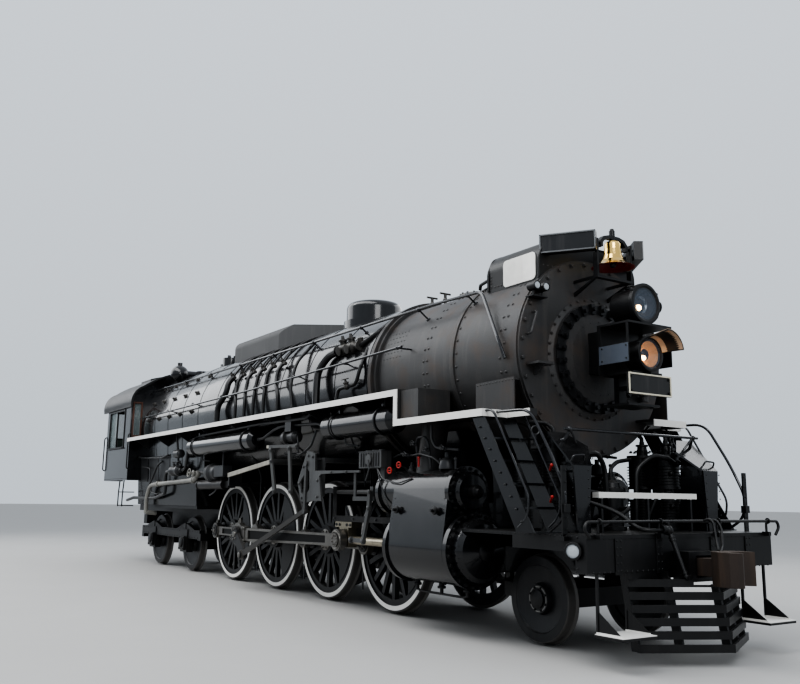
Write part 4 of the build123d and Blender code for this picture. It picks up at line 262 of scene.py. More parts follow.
def finish(name, base, rough=0.45, metallic=0.0, dust=0.25, dust_color=(0.30, 0.28, 0.25), streak=0.2,
           streak_color=(0.16, 0.15, 0.145), bump=0.002, grain=90.0, rough_spread=0.15, coat=0.0, masks=()):
    """A weathered surface. Masks are (function of the tree that gives 0 to 1, colour, roughness) layers."""
    m, nt, bsdf = nodes_of(name)
    coord = nt.nodes.new("ShaderNodeTexCoord").outputs["Object"]
    geo = nt.nodes.new("ShaderNodeNewGeometry")
    sep = nt.nodes.new("ShaderNodeSeparateXYZ")
    nt.links.new(geo.outputs["Normal"], sep.inputs[0])
    stretch = nt.nodes.new("ShaderNodeMapping")
    stretch.inputs["Scale"].default_value = (9.0, 9.0, 0.9)
    nt.links.new(coord, stretch.inputs["Vector"])
    big = noise(nt, coord, 1.7, 5.0)
    fine = noise(nt, coord, grain, 4.0)
    runs = noise(nt, stretch.outputs[0], 1.0, 5.0)
    color = mix_color(nt, ramp(nt, big, 0.35, 0.7), tuple(c * 0.82 for c in base),
                      tuple(min(1, c * 1.22) for c in base))
    up = ramp(nt, sep.outputs["Z"], 0.25, 0.95)
    cover = math_node(nt, "MULTIPLY", up, ramp(nt, big, 0.30, 0.72))
    cover = math_node(nt, "MULTIPLY", cover, dust, clamp=True)
    color = mix_color(nt, cover, color, dust_color)
    side = math_node(nt, "SUBTRACT", 1.0, math_node(nt, "ABSOLUTE", sep.outputs["Z"]), clamp=True)
    wash = math_node(nt, "MULTIPLY", side, ramp(nt, runs, 0.52, 0.74))
    wash = math_node(nt, "MULTIPLY", wash, streak, clamp=True)
    color = mix_color(nt, wash, color, streak_color)
    r = math_node(nt, "MULTIPLY_ADD", big, rough_spread)
    r.node.inputs[2].default_value = rough - rough_spread * 0.5
    r = math_node(nt, "ADD", r, math_node(nt, "MULTIPLY", cover, 0.35), clamp=True)
    for mask, tint, tint_rough in masks:
        f = mask(nt, coord, geo)
        color = mix_color(nt, f, color, tint)
        n = nt.nodes.new("ShaderNodeMix")
        nt.links.new(f, n.inputs[0])
        nt.links.new(r, n.inputs[2])
        n.inputs[3].default_value = tint_rough
        r = n.outputs[0]
    nt.links.new(color, bsdf.inputs["Base Color"])
    nt.links.new(r, bsdf.inputs["Roughness"])
    bsdf.inputs["Metallic"].default_value = metallic
    bsdf.inputs["Coat Weight"].default_value = coat
    b = nt.nodes.new("ShaderNodeBump")
    b.inputs["Strength"].default_value = 0.35
    b.inputs["Distance"].default_value = bump
    nt.links.new(fine, b.inputs["Height"])
    nt.links.new(b.outputs[0], bsdf.inputs["Normal"])
    return m


def axis_value(nt, coord, axis):
    sep = nt.nodes.new("ShaderNodeSeparateXYZ")
    nt.links.new(coord, sep.inputs[0])
    return sep.outputs[axis]


def between(nt, value, low, high, soft=0.002):
    a = ramp(nt, value, low - soft, low + soft)
    b = ramp(nt, value, high - soft, high + soft)
    return math_node(nt, "SUBTRACT", a, b, clamp=True)


def wheel_radius(nt, coord, x, z):
    dx = math_node(nt, "SUBTRACT", axis_value(nt, coord, "X"), x)
    dz = math_node(nt, "SUBTRACT", axis_value(nt, coord, "Z"), z)
    n = nt.nodes.new("ShaderNodeMath")
    n.operation = "SQRT"
    nt.links.new(math_node(nt, "ADD", math_node(nt, "MULTIPLY", dx, dx), math_node(nt, "MULTIPLY", dz, dz)),
                 n.inputs[0])
    return n.outputs[0]


def side_distance(nt, coord):
    return math_node(nt, "ABSOLUTE", axis_value(nt, coord, "Y"))


WHITE = (0.72, 0.705, 0.67)
STEEL = (0.20, 0.193, 0.18)


def wheel_finish(name, x, z, r, white, tint=WHITE):
    """Dark wheels with a painted ring between two radii, and a dull worn tread."""
    def ring(nt, coord, geo):
        face = ramp(nt, side_distance(nt, coord), 0.812, 0.816)
        return math_node(nt, "MULTIPLY", face,
                         between(nt, wheel_radius(nt, coord, x, z), white[0], white[1]))

    def tread(nt, coord, geo):
        outer = ramp(nt, wheel_radius(nt, coord, x, z), r - 0.014, r - 0.010)
        return math_node(nt, "MULTIPLY", outer, ramp(nt, side_distance(nt, coord), 0.66, 0.67))

    return finish(name, (0.012, 0.0125, 0.014), 0.40, dust=0.2, streak=0.2,
                  streak_color=(0.06, 0.058, 0.055),
                  masks=[(ring, tint, 0.5), (tread, (0.095, 0.09, 0.085), 0.32)])


def rod_finish(name, mid, flute):
    """Oily machined steel with its flutes painted black."""
    def groove(nt, coord, geo):
        d = math_node(nt, "ABSOLUTE", math_node(nt, "SUBTRACT", side_distance(nt, coord), mid))
        return math_node(nt, "SUBTRACT", 1.0, ramp(nt, d, flute - 0.001, flute + 0.001), clamp=True)

    def flat(nt, coord, geo):
        sep = nt.nodes.new("ShaderNodeSeparateXYZ")
        nt.links.new(geo.outputs["True Normal"], sep.inputs[0])
        return ramp(nt, math_node(nt, "ABSOLUTE", sep.outputs["Y"]), 0.8, 0.9)

    def both(nt, coord, geo):
        return math_node(nt, "MULTIPLY", groove(nt, coord, geo), flat(nt, coord, geo))

    return finish(name, STEEL, 0.34, metallic=0.85, dust=0.25, streak=0.35, streak_color=(0.12, 0.10, 0.08),
                  rough_spread=0.2, masks=[(both, (0.012, 0.012, 0.012), 0.42)])


def stripe_mask(nt, coord, geo):
    """The running boards' edges: outer sides, the front end, and the rims of the front apron."""
    x, y = axis_value(nt, coord, "X"), side_distance(nt, coord)
    left = ramp(nt, axis_value(nt, coord, "Y"), 0.0, 0.01)
    rims = [ramp(nt, y, 1.6015, 1.6035), math_node(nt, "MULTIPLY", ramp(nt, x, 6.7415, 6.7435),
                                                   ramp(nt, y, 1.2515, 1.2535)),
            math_node(nt, "MULTIPLY", ramp(nt, x, 7.1015, 7.1035), left)]
    total = rims[0]
    for rim in rims[1:]:
        total = math_node(nt, "MAXIMUM", total, rim)
    return total


def bell_inside(nt, coord, geo):
    """1 where the surface faces the bell's own axis."""
    sep = nt.nodes.new("ShaderNodeSeparateXYZ")
    nt.links.new(geo.outputs["True Normal"], sep.inputs[0])
    ahead = math_node(nt, "MULTIPLY", sep.outputs["X"],
                      math_node(nt, "SUBTRACT", axis_value(nt, coord, "X"), BELL_X))
    aside = math_node(nt, "MULTIPLY", sep.outputs["Y"], axis_value(nt, coord, "Y"))
    inward = math_node(nt, "SUBTRACT", 1.0, ramp(nt, math_node(nt, "ADD", ahead, aside), -0.004, -0.001),
                       clamp=True)
    lip = math_node(nt, "MULTIPLY", math_node(nt, "SUBTRACT", 1.0, ramp(nt, sep.outputs["Z"], -0.9, -0.8),
                                              clamp=True),
                    math_node(nt, "SUBTRACT", 1.0, ramp(nt, axis_value(nt, coord, "Z"), 4.30, 4.32),
                              clamp=True))
    return math_node(nt, "MAXIMUM", inward, lip)


def rust_patches(nt, coord, geo):
    return math_node(nt, "MULTIPLY", ramp(nt, noise(nt, coord, 2.6, 7.0, 0.6), 0.50, 0.68), 0.55)


def door_dogs(nt, coord, geo):
    return math_node(nt, "MULTIPLY", ramp(nt, axis_value(nt, coord, "X"), 6.884, 6.888),
                     between(nt, ring_radius(nt, coord), 0.525, 0.66))


def ring_radius(nt, coord):
    up = math_node(nt, "SUBTRACT", axis_value(nt, coord, "Z"), DOOR_Z)
    out = axis_value(nt, coord, "Y")
    n = nt.nodes.new("ShaderNodeMath")
    n.operation = "SQRT"
    nt.links.new(math_node(nt, "ADD", math_node(nt, "MULTIPLY", up, up),
                           math_node(nt, "MULTIPLY", out, out)), n.inputs[0])
    return n.outputs[0]


def step_top(nt, coord, geo):
    return ramp(nt, axis_value(nt, coord, "Z"), 1.555, 1.560)


def low_tread(nt, coord, geo):
    """The upper faces of the foot steps beside the coupler."""
    up = between(nt, axis_value(nt, coord, "Z"), 0.318, 0.340)
    spot = between(nt, axis_value(nt, coord, "X"), 8.010, 8.370)
    return math_node(nt, "MULTIPLY", math_node(nt, "MULTIPLY", up, spot),
                     between(nt, side_distance(nt, coord), 0.855, 1.315))


def reach_ahead(nt, coord, geo):
    """The thin bars in front of the long slanted reach rod."""
    return ramp(nt, axis_value(nt, coord, "X"), 1.26, 1.30)


def rod_web(nt, coord, geo):
    """The middle of a rod's outer face, away from its edges and eyes."""
    sep = nt.nodes.new("ShaderNodeSeparateXYZ")
    nt.links.new(geo.outputs["True Normal"], sep.inputs[0])
    return ramp(nt, math_node(nt, "ABSOLUTE", sep.outputs["Y"]), 0.8, 0.9)


gloss = finish("gloss_black", (0.0075, 0.008, 0.0095), 0.20, dust=0.12, streak=0.08,
               streak_color=(0.06, 0.06, 0.06), rough_spread=0.14, bump=0.0006, grain=60.0, coat=0.4)
casing_black = finish("casing_black", (0.017, 0.0175, 0.019), 0.50, dust=0.2, streak=0.3,
                      streak_color=(0.06, 0.058, 0.055), bump=0.0006, grain=60.0)
satin = finish("satin_black", (0.0075, 0.0075, 0.008), 0.40, dust=0.12, streak=0.12,
               streak_color=(0.05, 0.048, 0.045))
graphite = finish("graphite", (0.046, 0.045, 0.045), 0.50, dust=0.15, streak=0.5,
                  streak_color=(0.095, 0.088, 0.080), dust_color=(0.15, 0.14, 0.13), rough_spread=0.2,
                  bump=0.003, grain=45.0, masks=[(rust_patches, (0.075, 0.052, 0.038), 0.6)])
door_grey = finish("door_graphite", (0.042, 0.041, 0.041), 0.48, dust=0.15, streak=0.5,
                   streak_color=(0.085, 0.078, 0.070), dust_color=(0.15, 0.14, 0.13), rough_spread=0.2,
                   bump=0.003, grain=45.0, masks=[(rust_patches, (0.062, 0.045, 0.035), 0.6),
                                                  (door_dogs, (0.012, 0.012, 0.013), 0.4)])
step_white = finish("step_white", (0.012, 0.012, 0.013), 0.42, dust=0.2, masks=[(step_top, WHITE, 0.5)])
timber = finish("window_frame_brown", (0.10, 0.042, 0.026), 0.5, dust=0.1)
board = finish("board_edge", (0.02, 0.02, 0.02), 0.5, dust=0.6, masks=[(stripe_mask, WHITE, 0.45)])
cream = finish("cream_paint", (0.66, 0.62, 0.50), 0.4, dust=0.1, streak=0.15,
               streak_color=(0.35, 0.31, 0.25))
white = finish("white_paint", WHITE, 0.45, dust=0.15, streak=0.2, streak_color=(0.40, 0.36, 0.31))
steel = finish("rod_steel", STEEL, 0.34, metallic=0.85, dust=0.2, streak=0.35,
               streak_color=(0.12, 0.10, 0.08), rough_spread=0.2)
dark_steel = finish("oily_steel", (0.055, 0.052, 0.048), 0.40, metallic=0.4, dust=0.4, streak=0.4)
pipe_grey = finish("pipe_grey", (0.050, 0.051, 0.053), 0.34, metallic=0.3, dust=0.2, streak=0.25,
                   streak_color=(0.13, 0.12, 0.11))
rail_black = finish("rail_black", (0.030, 0.031, 0.034), 0.24, metallic=0.5, dust=0.15, streak=0.0,
                    coat=0.5)
gear_grey = finish("gear_grey", (0.085, 0.086, 0.086), 0.38, metallic=0.35, dust=0.2, streak=0.55,
                   streak_color=(0.022, 0.020, 0.018), rough_spread=0.2, grain=50.0)
cream_steel = finish("cream_steel", (0.36, 0.34, 0.29), 0.36, metallic=0.4, dust=0.1, streak=0.45,
                     streak_color=(0.13, 0.115, 0.09), masks=[(reach_ahead, (0.075, 0.075, 0.073), 0.4)])
pale_pipe = finish("pale_pipe", (0.24, 0.235, 0.215), 0.42, dust=0.2, streak=0.5,
                   streak_color=(0.10, 0.09, 0.075))
tread_white = finish("pilot_black", (0.0075, 0.0075, 0.008), 0.40, dust=0.12, streak=0.12,
                     streak_color=(0.05, 0.048, 0.045), masks=[(low_tread, WHITE, 0.5)])
eccentric_steel = finish("eccentric_steel", (0.15, 0.145, 0.135), 0.34, metallic=0.8, dust=0.2, streak=0.35,
                         streak_color=(0.10, 0.085, 0.07), rough_spread=0.2,
                         masks=[(rod_web, (0.075, 0.072, 0.068), 0.4)])
gold_steel = finish("gold_steel", (0.37, 0.335, 0.265), 0.30, metallic=0.85, dust=0.1, streak=0.5,
                    streak_color=(0.07, 0.055, 0.04))
# Light grey for the number boards' dark rims: a painted highlight.
rim_highlight_grey = finish("rim_highlight_grey", (0.14, 0.145, 0.15), 0.35, dust=0.1)
guide_black = finish("guide_black", (0.022, 0.021, 0.021), 0.36, metallic=0.4, dust=0.3, streak=0.4,
                     streak_color=(0.09, 0.08, 0.07))
brass = finish("bell_brass", (0.83, 0.58, 0.22), 0.16, metallic=1.0, dust=0.05, streak=0.12,
               streak_color=(0.45, 0.28, 0.10), rough_spread=0.08, bump=0.0004,
               masks=[(bell_inside, (0.22, 0.020, 0.016), 0.5)])
brass_nodes = brass.node_tree.nodes
brass_metallic = next(n for n in brass_nodes if n.type == "BSDF_PRINCIPLED").inputs["Metallic"]
bare = math_node(brass.node_tree, "SUBTRACT", 1.0,
                 bell_inside(brass.node_tree, brass_nodes.new("ShaderNodeTexCoord").outputs["Object"],
                             brass_nodes.new("ShaderNodeNewGeometry")), clamp=True)
brass.node_tree.links.new(bare, brass_metallic)
red = finish("handle_red", (0.42, 0.028, 0.02), 0.4, dust=0.2)
iron = finish("cast_brown", (0.045, 0.033, 0.027), 0.62, metallic=0.2, dust=0.4,
              dust_color=(0.16, 0.12, 0.09), streak=0.4, streak_color=(0.12, 0.075, 0.045), bump=0.004,
              grain=40.0)
plate_black = finish("plate_black", (0.02, 0.02, 0.02), 0.35, dust=0.1)
board_black = finish("number_board", (0.017, 0.018, 0.02), 0.3, dust=0.1)
blue_grey = finish("blue_grey", (0.085, 0.10, 0.125), 0.4, dust=0.1)
cab_green = finish("cab_green", (0.035, 0.055, 0.045), 0.5, dust=0.2)
pale_grey = finish("pale_grey", (0.30, 0.30, 0.295), 0.42, dust=0.15, streak=0.5,
                   streak_color=(0.10, 0.09, 0.08))


def glass(name, color, rough, alpha):
    m, nt, bsdf = nodes_of(name)
    bsdf.inputs["Base Color"].default_value = (*color, 1)
    bsdf.inputs["Roughness"].default_value = rough
    bsdf.inputs["Alpha"].default_value = alpha
    bsdf.inputs["Specular IOR Level"].default_value = 0.7
    coord = nt.nodes.new("ShaderNodeTexCoord").outputs["Object"]
    b = nt.nodes.new("ShaderNodeBump")
    b.inputs["Strength"].default_value = 0.1
    b.inputs["Distance"].default_value = 0.002
    nt.links.new(noise(nt, coord, 14.0, 2.0), b.inputs["Height"])
    nt.links.new(b.outputs[0], bsdf.inputs["Normal"])
    return m


lamp_glass = glass("lamp_glass", (0.10, 0.13, 0.17), 0.04, 0.35)
window_glass = glass("window_glass", (0.25, 0.3, 0.3), 0.06, 0.4)
clear_lens = glass("clear_lens", (0.45, 0.48, 0.50), 0.06, 0.9)
amber = glass("amber_visor", (0.46, 0.33, 0.23), 0.30, 0.97)


def glow(name, color, strength):
    m, nt, bsdf = nodes_of(name)
    bsdf.inputs["Base Color"].default_value = (*color, 1)
    bsdf.inputs["Emission Color"].default_value = (*color, 1)
    bsdf.inputs["Emission Strength"].default_value = strength
    return m


bulb = glow("bulb", (1.0, 0.62, 0.28), 24.0)
warm_bowl = glow("warm_bowl", (0.55, 0.30, 0.12), 0.45)
reflector = finish("reflector", (0.42, 0.45, 0.50), 0.14, metallic=1.0, dust=0.0, streak=0.0)

NODE_FINISH = {"gloss_black": gloss, "satin_black": satin, "graphite": graphite, "board_edge": board,
               "white_paint": white, "rod_steel": steel, "lamp_glass": lamp_glass,
               "plate_black": plate_black, "bell_brass": brass, "window_glass": window_glass,
               "cast_brown": iron, "cab_green": cab_green, "wheel_black": satin, "pale_grey": pale_grey,}
slot_of = {s["node"]: s["material_slot"] for s in frame["record"]["subparts"]}


def dress(node, material):
    obj = frame["nodes"][node]
    obj.data.materials.clear()
    obj.data.materials.append(material)


for node in frame["nodes"]:
    dress(node, NODE_FINISH[slot_of[node]])
for n, x in enumerate(DRIVER_XS):
    dress("driver_wheels_%d" % (n + 1), wheel_finish("driver_%d" % (n + 1), x, DRIVER_Z, DRIVER_R,
                                                     (0.792, 0.852)))
dress("lead_wheels", wheel_finish("lead_set", *LEAD, (0.122, 0.136), (0.20, 0.195, 0.185)))
for n, t in enumerate(TRAILERS):
    dress("trailing_wheels_%d" % (n + 1), wheel_finish("trailing_set_%d" % (n + 1), *t, (0.170, 0.185),
                                                       (0.10, 0.098, 0.094)))
for node, material in (("smokebox_door", door_grey), ("valve_gear", gear_grey), ("reach_rods", cream_steel),
                       ("crossheads", gold_steel), ("crosshead_guides", guide_black),
                       ("lubricators", gear_grey), ("cylinders", gloss), ("air_tanks", gloss),
                       ("pump_shields", gloss), ("front_stairs", gloss), ("board_boxes", graphite),
                       ("cab_shell", gloss), ("dome_casing", casing_black), ("reverse_gear", guide_black),
                       ("pilot", tread_white), ("eccentric_rod_right", eccentric_steel),
                       ("eccentric_rod_left", eccentric_steel)):
    dress(node, material)
dress("front_step", step_white)
for side in ("right", "left"):
    dress("side_rod_" + side, rod_finish("side_rod_" + side, 0.98, 0.0245))
    dress("main_rod_" + side, rod_finish("main_rod_" + side, 1.30, 0.0285))


def make(name, shape, material, body="engine", bevel=0.0, angle=35.0):
    mesh = bpy.data.meshes.new(name)
    mesh.from_pydata(shape.verts, [], shape.faces)
    mesh.validate()
    mesh.materials.append(material)
    for p in mesh.polygons:
        p.use_smooth = True
    mesh.set_sharp_from_angle(angle=math.radians(angle))
    obj = bpy.data.objects.new(name, mesh)
    bpy.context.scene.collection.objects.link(obj)
    if bevel:
        mod = obj.modifiers.new("bevel", "BEVEL")
        mod.width = bevel
        mod.segments = 2
        mod.limit_method = "ANGLE"
    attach(obj, body)
    return obj


def ring_of(shape, at, axis, radius, count, size, height=0.02, start=0.5):
    """A circle of bolts round a point, standing out along an axis."""
    axis = Vector(axis).normalized()
    side = axis.orthogonal().normalized()
    other = axis.cross(side)
    for k in range(count):
        a = 2 * math.pi * (k + start) / count
        shape.bolt(Vector(at) + (side * math.cos(a) + other * math.sin(a)) * radius, axis, size, height)


def row(shape, a, b, count, normal, r=0.012):
    """A row of rivets from one point to another."""
    a, b = Vector(a), Vector(b)
    for k in range(count):
        shape.rivet(a + (b - a) * (k / max(1, count - 1)), normal, r)


def frame_round(shape, x, z, y, width, depth):
    """A rim round an opening in a wall that faces sideways."""
    y0, y1 = y, y + depth
    for x0, x1, z0, z1 in ((x[0] - width, x[1] + width, z[1], z[1] + width),
                           (x[0] - width, x[1] + width, z[0] - width, z[0]),
                           (x[0] - width, x[0], z[0], z[1]), (x[1], x[1] + width, z[0], z[1])):
        shape.box((x0, y0, z0), (x1, y1, z1))


def valve(shape, at, way, size=0.05, wheel=True):
    """A small globe valve whose spindle points along a direction."""
    at, way = Vector(at), Vector(way).normalized()
    shape.ball(at, size, 12)
    shape.lathe(at, way, [(0, size * 0.75), (size * 1.1, size * 0.75), (size * 1.15, size * 0.95),
                          (size * 1.5, size * 0.95), (size * 1.55, size * 0.4), (size * 2.6, size * 0.3)],
                12)
    if wheel:
        shape.hoop(at + way * size * 2.5, way, size * 1.1, size * 0.17, 20, 6)


# Rings of bolts, rivets and straps on the smokebox, its front and the cowl.
bolts = Shape()
ring_of(bolts, (6.835, 0, BOILER_Z), (1, 0, 0), 1.108, 32, 0.022, 0.028)
for x, count in ((6.50, 44), (6.58, 44), (5.68, 44), (5.52, 44), (5.02, 44), (4.94, 44)):
    for n in range(count):
        deg = 360 * (n + 0.5) / count - 180
        if abs(deg) < 125:
            p = boiler_at(x, deg)
            bolts.rivet(p, p - Vector((x, 0, BOILER_Z)), 0.019)
bolts.both = True
for deg in (58, 62, 66, 70, 74, 78):
    for x in (3.95, 4.03, 4.11, 4.19, 4.27, 4.35):
        p = boiler_at(x, deg)
        bolts.rivet(p, p - Vector((x, 0, BOILER_Z)), 0.012)
row(bolts, (5.93, 0.791, 4.10), (6.74, 0.791, 4.10), 14, (0, 1, 0))
row(bolts, (5.93, 0.791, 4.24), (5.93, 0.791, 4.12), 4, (0, 1, 0))
bolts.both = False
row(bolts, (6.791, -0.72, 4.22), (6.791, 0.72, 4.22), 22, (1, 0, 0))
make("smokebox_bolts", bolts, graphite)
straps = Shape()
for x0, x1, r in ((5.565, 5.635, 1.166), (3.70, 3.78, 1.212), (3.78, 3.84, 1.17)):
    straps.lathe((0, 0, BOILER_Z), (1, 0, 0), [(x0, COURSE_R - 0.01), (x0, r), (x1, r),
                                               (x1, COURSE_R - 0.01)], 96)
make("boiler_straps", straps, graphite, bevel=0.004)

# Leaf springs over the driving axles and the pipes beside them.
springs = Shape(both=True)
for x in DRIVER_XS:
    for k in range(7):
        half_len = 0.56 - 0.065 * k
        springs.slab(lambda t, x=x, k=k, h=half_len: [Vector((x - h, t, 1.47 + 0.014 * k)),
                                                      Vector((x, t, 1.44 + 0.014 * k)),
                                                      Vector((x + h, t, 1.47 + 0.014 * k)),
                                                      Vector((x + h, t, 1.482 + 0.014 * k)),
                                                      Vector((x, t, 1.452 + 0.014 * k)),
                                                      Vector((x - h, t, 1.482 + 0.014 * k))], 0.50, 0.60)
    springs.box((x - 0.05, 0.495, 1.34), (x + 0.05, 0.605, 1.58))
    for dx in (-0.50, 0.50):
        springs.rod((x + dx, 0.55, 1.33), (x + dx, 0.55, 1.53), 0.020)
        springs.bolt((x + dx, 0.55, 1.49), (0, 0, 1), 0.034, 0.03)
springs.tube([(4.7, 0.46, 1.66), (1.0, 0.46, 1.64), (-2.3, 0.46, 1.62)], 0.045)
springs.tube([(4.7, 0.36, 1.78), (1.0, 0.36, 1.76), (-2.3, 0.36, 1.72)], 0.060)
springs.both = False
# Waist sheets between the frame and the boiler.
for x in [(a + b) / 2 for a, b in zip(DRIVER_XS, DRIVER_XS[1:])]:
    springs.box((x - 0.006, -0.62, 1.36), (x + 0.006, 0.62, 2.02))
make("driver_springs", springs, satin, bevel=0.0015)

# Thin bands round the jacket.
bands = Shape()
for x in (3.62, 2.72, 1.80, 0.88, -0.04, -0.96, -1.88, -2.80, -3.72, -4.64, -5.56):
    rows = []
    for out in (0.0, 0.006):
        row_a, row_b = [], []
        for k in range(73):
            deg = -122 + 244 * k / 72
            if x < -2.4 and abs(deg) > 90:
                s = 1 if deg > 0 else -1
                drop = (abs(deg) - 90) / 32 * 1.1
                p = Vector((0, s * (1.29 + out - 0.0593 * drop), 3.12 - drop))
            else:
                p = boiler_at(x, deg, out)
            row_a.append(Vector((x, p.y, p.z)))
            row_b.append(Vector((x + 0.045, p.y, p.z)))
        rows.append((row_a, row_b))
    (ia, ib), (oa, ob) = rows
    for k in range(72):
        bands.add([oa[k], oa[k + 1], ob[k + 1], ob[k]], [(0, 1, 2, 3)])
        bands.add([ia[k], oa[k], oa[k + 1], ia[k + 1]], [(3, 2, 1, 0)])
        bands.add([ib[k], ob[k], ob[k + 1], ib[k + 1]], [(0, 1, 2, 3)])
make("jacket_bands", bands, gloss)

# Handrails along the boiler, with their posts, on both sides.
rails = Shape(both=True)
rails.tube([(6.62, 1.17, 3.10), (6.55, 1.20, 3.30), (6.06, 1.05, 4.00), (5.0, 1.03, 4.03), (2.0, 1.03, 4.02),
            (-1.0, 1.03, 4.02), (-6.42, 1.03, 4.02)], 0.020, 0.12)
rails.tube([(4.70, 1.30, 3.49), (3.4, 1.32, 3.46), (0.0, 1.37, 3.38), (-6.42, 1.385, 3.33)], 0.017, 0.1)
for x in (5.75, 4.7, 3.2, 1.7, 0.2, -1.3, -2.8, -4.3, -5.7):
    foot = boiler_at(x, 51, -0.01)
    rails.rod(foot, (x, 1.03, 4.02), 0.013, seg=10)
    rails.ball((x, 1.03, 4.02), 0.034, 12)
    rails.lathe(foot, foot - Vector((x, 0, BOILER_Z)), [(0, 0.035), (0.03, 0.028)], 12)
for x in (4.6, 3.1, 1.6, 0.1, -1.4, -2.9, -4.4, -5.9):
    t = min(1, max(0, (x + 6.4) / 11.1))
    y, z = (1.385 - 0.085 * t), 3.33 + 0.16 * t
    rails.rod((x, (abs(boiler_at(x, 80).y) - 0.03), z), (x, y, z), 0.012, seg=10)
    rails.ball((x, y, z), 0.028, 12)
# Rails of the stairs, bent rail beside the deck, and the grips on the shields.
for y in (1.135, 1.555):
    rails.tube([(6.60, y, 2.42), (6.66, y, 2.475), (6.84, y, 2.475), (6.90, y, 2.43), (7.42, y, 1.56),
                (7.39, y, 1.36), (7.25, y, 1.26)], 0.0125, 0.08)
rails.tube([(6.75, 1.40, 2.47), (7.28, 1.40, 2.46), (7.60, 1.40, 1.96), (7.775, 1.40, 1.60),
            (7.74, 1.40, 1.36), (7.55, 1.40, 1.24)], 0.016, 0.16)
rails.tube([(7.57, 1.12, 1.93), (7.60, 1.11, 1.985), (7.60, 0.96, 1.995), (7.57, 0.94, 1.94)], 0.010, 0.03)
rails.tube([(7.42, 0.97, 2.265), (7.36, 1.00, 2.16), (7.33, 1.03, 2.15)], 0.018, 0.02)
rails.tube([(7.42, 0.97, 2.265), (7.40, 0.90, 2.18), (7.38, 0.86, 2.13)], 0.012, 0.02)
rails.ball((7.42, 0.985, 2.268), 0.030, 12)
rails.both = False
rails.rod((7.42, -1.06, 2.268), (7.42, 1.06, 2.268), 0.016)
make("handrails", rails, rail_black)
eyes = Shape(both=True)
eyes.hoop((7.02, 1.10, 2.27), (0.7, 0.2, 0), 0.046, 0.011, 28, 8)
eyes.rod((7.02, 1.10, 2.215), (7.02, 1.10, 2.10), 0.014)
eyes.lathe((6.98, 1.10, 2.09), (1, 0, 0), [(0, 0.03), (0.10, 0.03)], 12)
make("lifting_rings", eyes, pipe_grey)

# Valves and pipes on the boiler's sides. Each row: X of the valve, X of the pipe's foot.
DROPS = ((-1.28, -1.48), (-0.81, -0.61), (-0.35, -0.20), (0.08, 0.18), (0.49, 0.60), (0.89, 1.15))
lines = Shape(both=True)
cocks = Shape(both=True)
for n, (x, foot_x) in enumerate(DROPS):
    valve(cocks, (x, 1.17, 3.77), (0, 0.5, 0.85), 0.042, wheel=False)
    cocks.lathe((x - 0.09, 1.17, 3.75), (1, 0, 0), [(0, 0.03), (0.18, 0.03)], 12)
    lines.tube([(x, 1.17, 3.76), (x + 0.02, 1.27, 3.66), (x + 0.05, 1.33, 3.42), (foot_x, 1.38, 3.22),
                (foot_x + 0.03, 1.40, 2.86)], 0.030 if n else 0.055, 0.14)
    lines.tube([(x, 1.16, 3.79), (x - 0.06, 1.05, 3.93), (x - 0.03, 0.80, 4.16), (x, 0.55, 4.28)], 0.02,
               0.1)
lines.tube([(1.50, 0.9, 4.06), (1.55, 1.25, 3.70), (1.60, 1.38, 3.30), (1.75, 1.40, 2.86)], 0.026, 0.15)
lines.tube([(2.45, 1.36, 2.80), (2.42, 1.34, 3.20), (2.38, 1.30, 3.44), (2.51, 1.20, 3.66),
            (2.72, 1.17, 3.70)], 0.055, 0.14)
lines.tube([(3.06, 1.36, 2.84), (3.08, 1.33, 3.09), (3.50, 1.28, 3.12), (3.56, 1.26, 3.32),
            (3.52, 1.1, 3.66)], 0.026, 0.08)
valve(cocks, (3.30, 1.31, 3.105), (0, 0.3, 1), 0.045)
# The boiler check valves: a body along X with flanges and bonnets.
cocks.lathe((2.68, 1.13, 3.72), (1, 0, 0), [(0, 0.085), (0.03, 0.085), (0.032, 0.06), (0.10, 0.06),
                                            (0.14, 0.085), (0.26, 0.085), (0.30, 0.06), (0.36, 0.06),
                                            (0.38, 0.085), (0.50, 0.085), (0.54, 0.05), (0.64, 0.05),
                                            (0.645, 0.075), (0.67, 0.075)], 20)
for x in (2.88, 3.12):
    cocks.lathe((x, 1.13, 3.74), (0, 0.2, 1), [(0, 0.05), (0.10, 0.05), (0.105, 0.068), (0.13, 0.068),
                                               (0.135, 0.03), (0.19, 0.02)], 14)
    cocks.lathe((x, 1.13, 3.72), (0, 1, -0.35),
                [(0, 0.055), (0.09, 0.055), (0.095, 0.07), (0.115, 0.07), (0.12, 0.02)], 14)
cocks.lathe((3.32, 1.09, 3.74), (0, 0.3, 1), [(0, 0.04), (0.10, 0.045), (0.11, 0.02)], 12)
lines.tube([(3.33, 1.12, 3.72), (3.60, 1.02, 3.86), (3.70, 0.7, 4.14)], 0.035, 0.1)
lines.tube([(5.47, 0.6, 4.20), (5.50, 0.62, 4.25), (5.76, 0.70, 4.25), (5.90, 0.72, 4.22)], 0.022, 0.05)
# Washout plugs and stay caps on the firebox.
for k, x in enumerate((-3.15, -3.85, -4.55, -5.25, -5.95)):
    for deg in (46, 66, 84):
        p = boiler_at(x, deg)
        out = p - Vector((x, 0, 3.12))
        cocks.lathe(p - out.normalized() * 0.01, out,
                    [(0, 0.055), (0.02, 0.055), (0.024, 0.04), (0.04, 0.038), (0.045, 0.02), (0.07, 0.02)],
                    12)
cocks.both = False
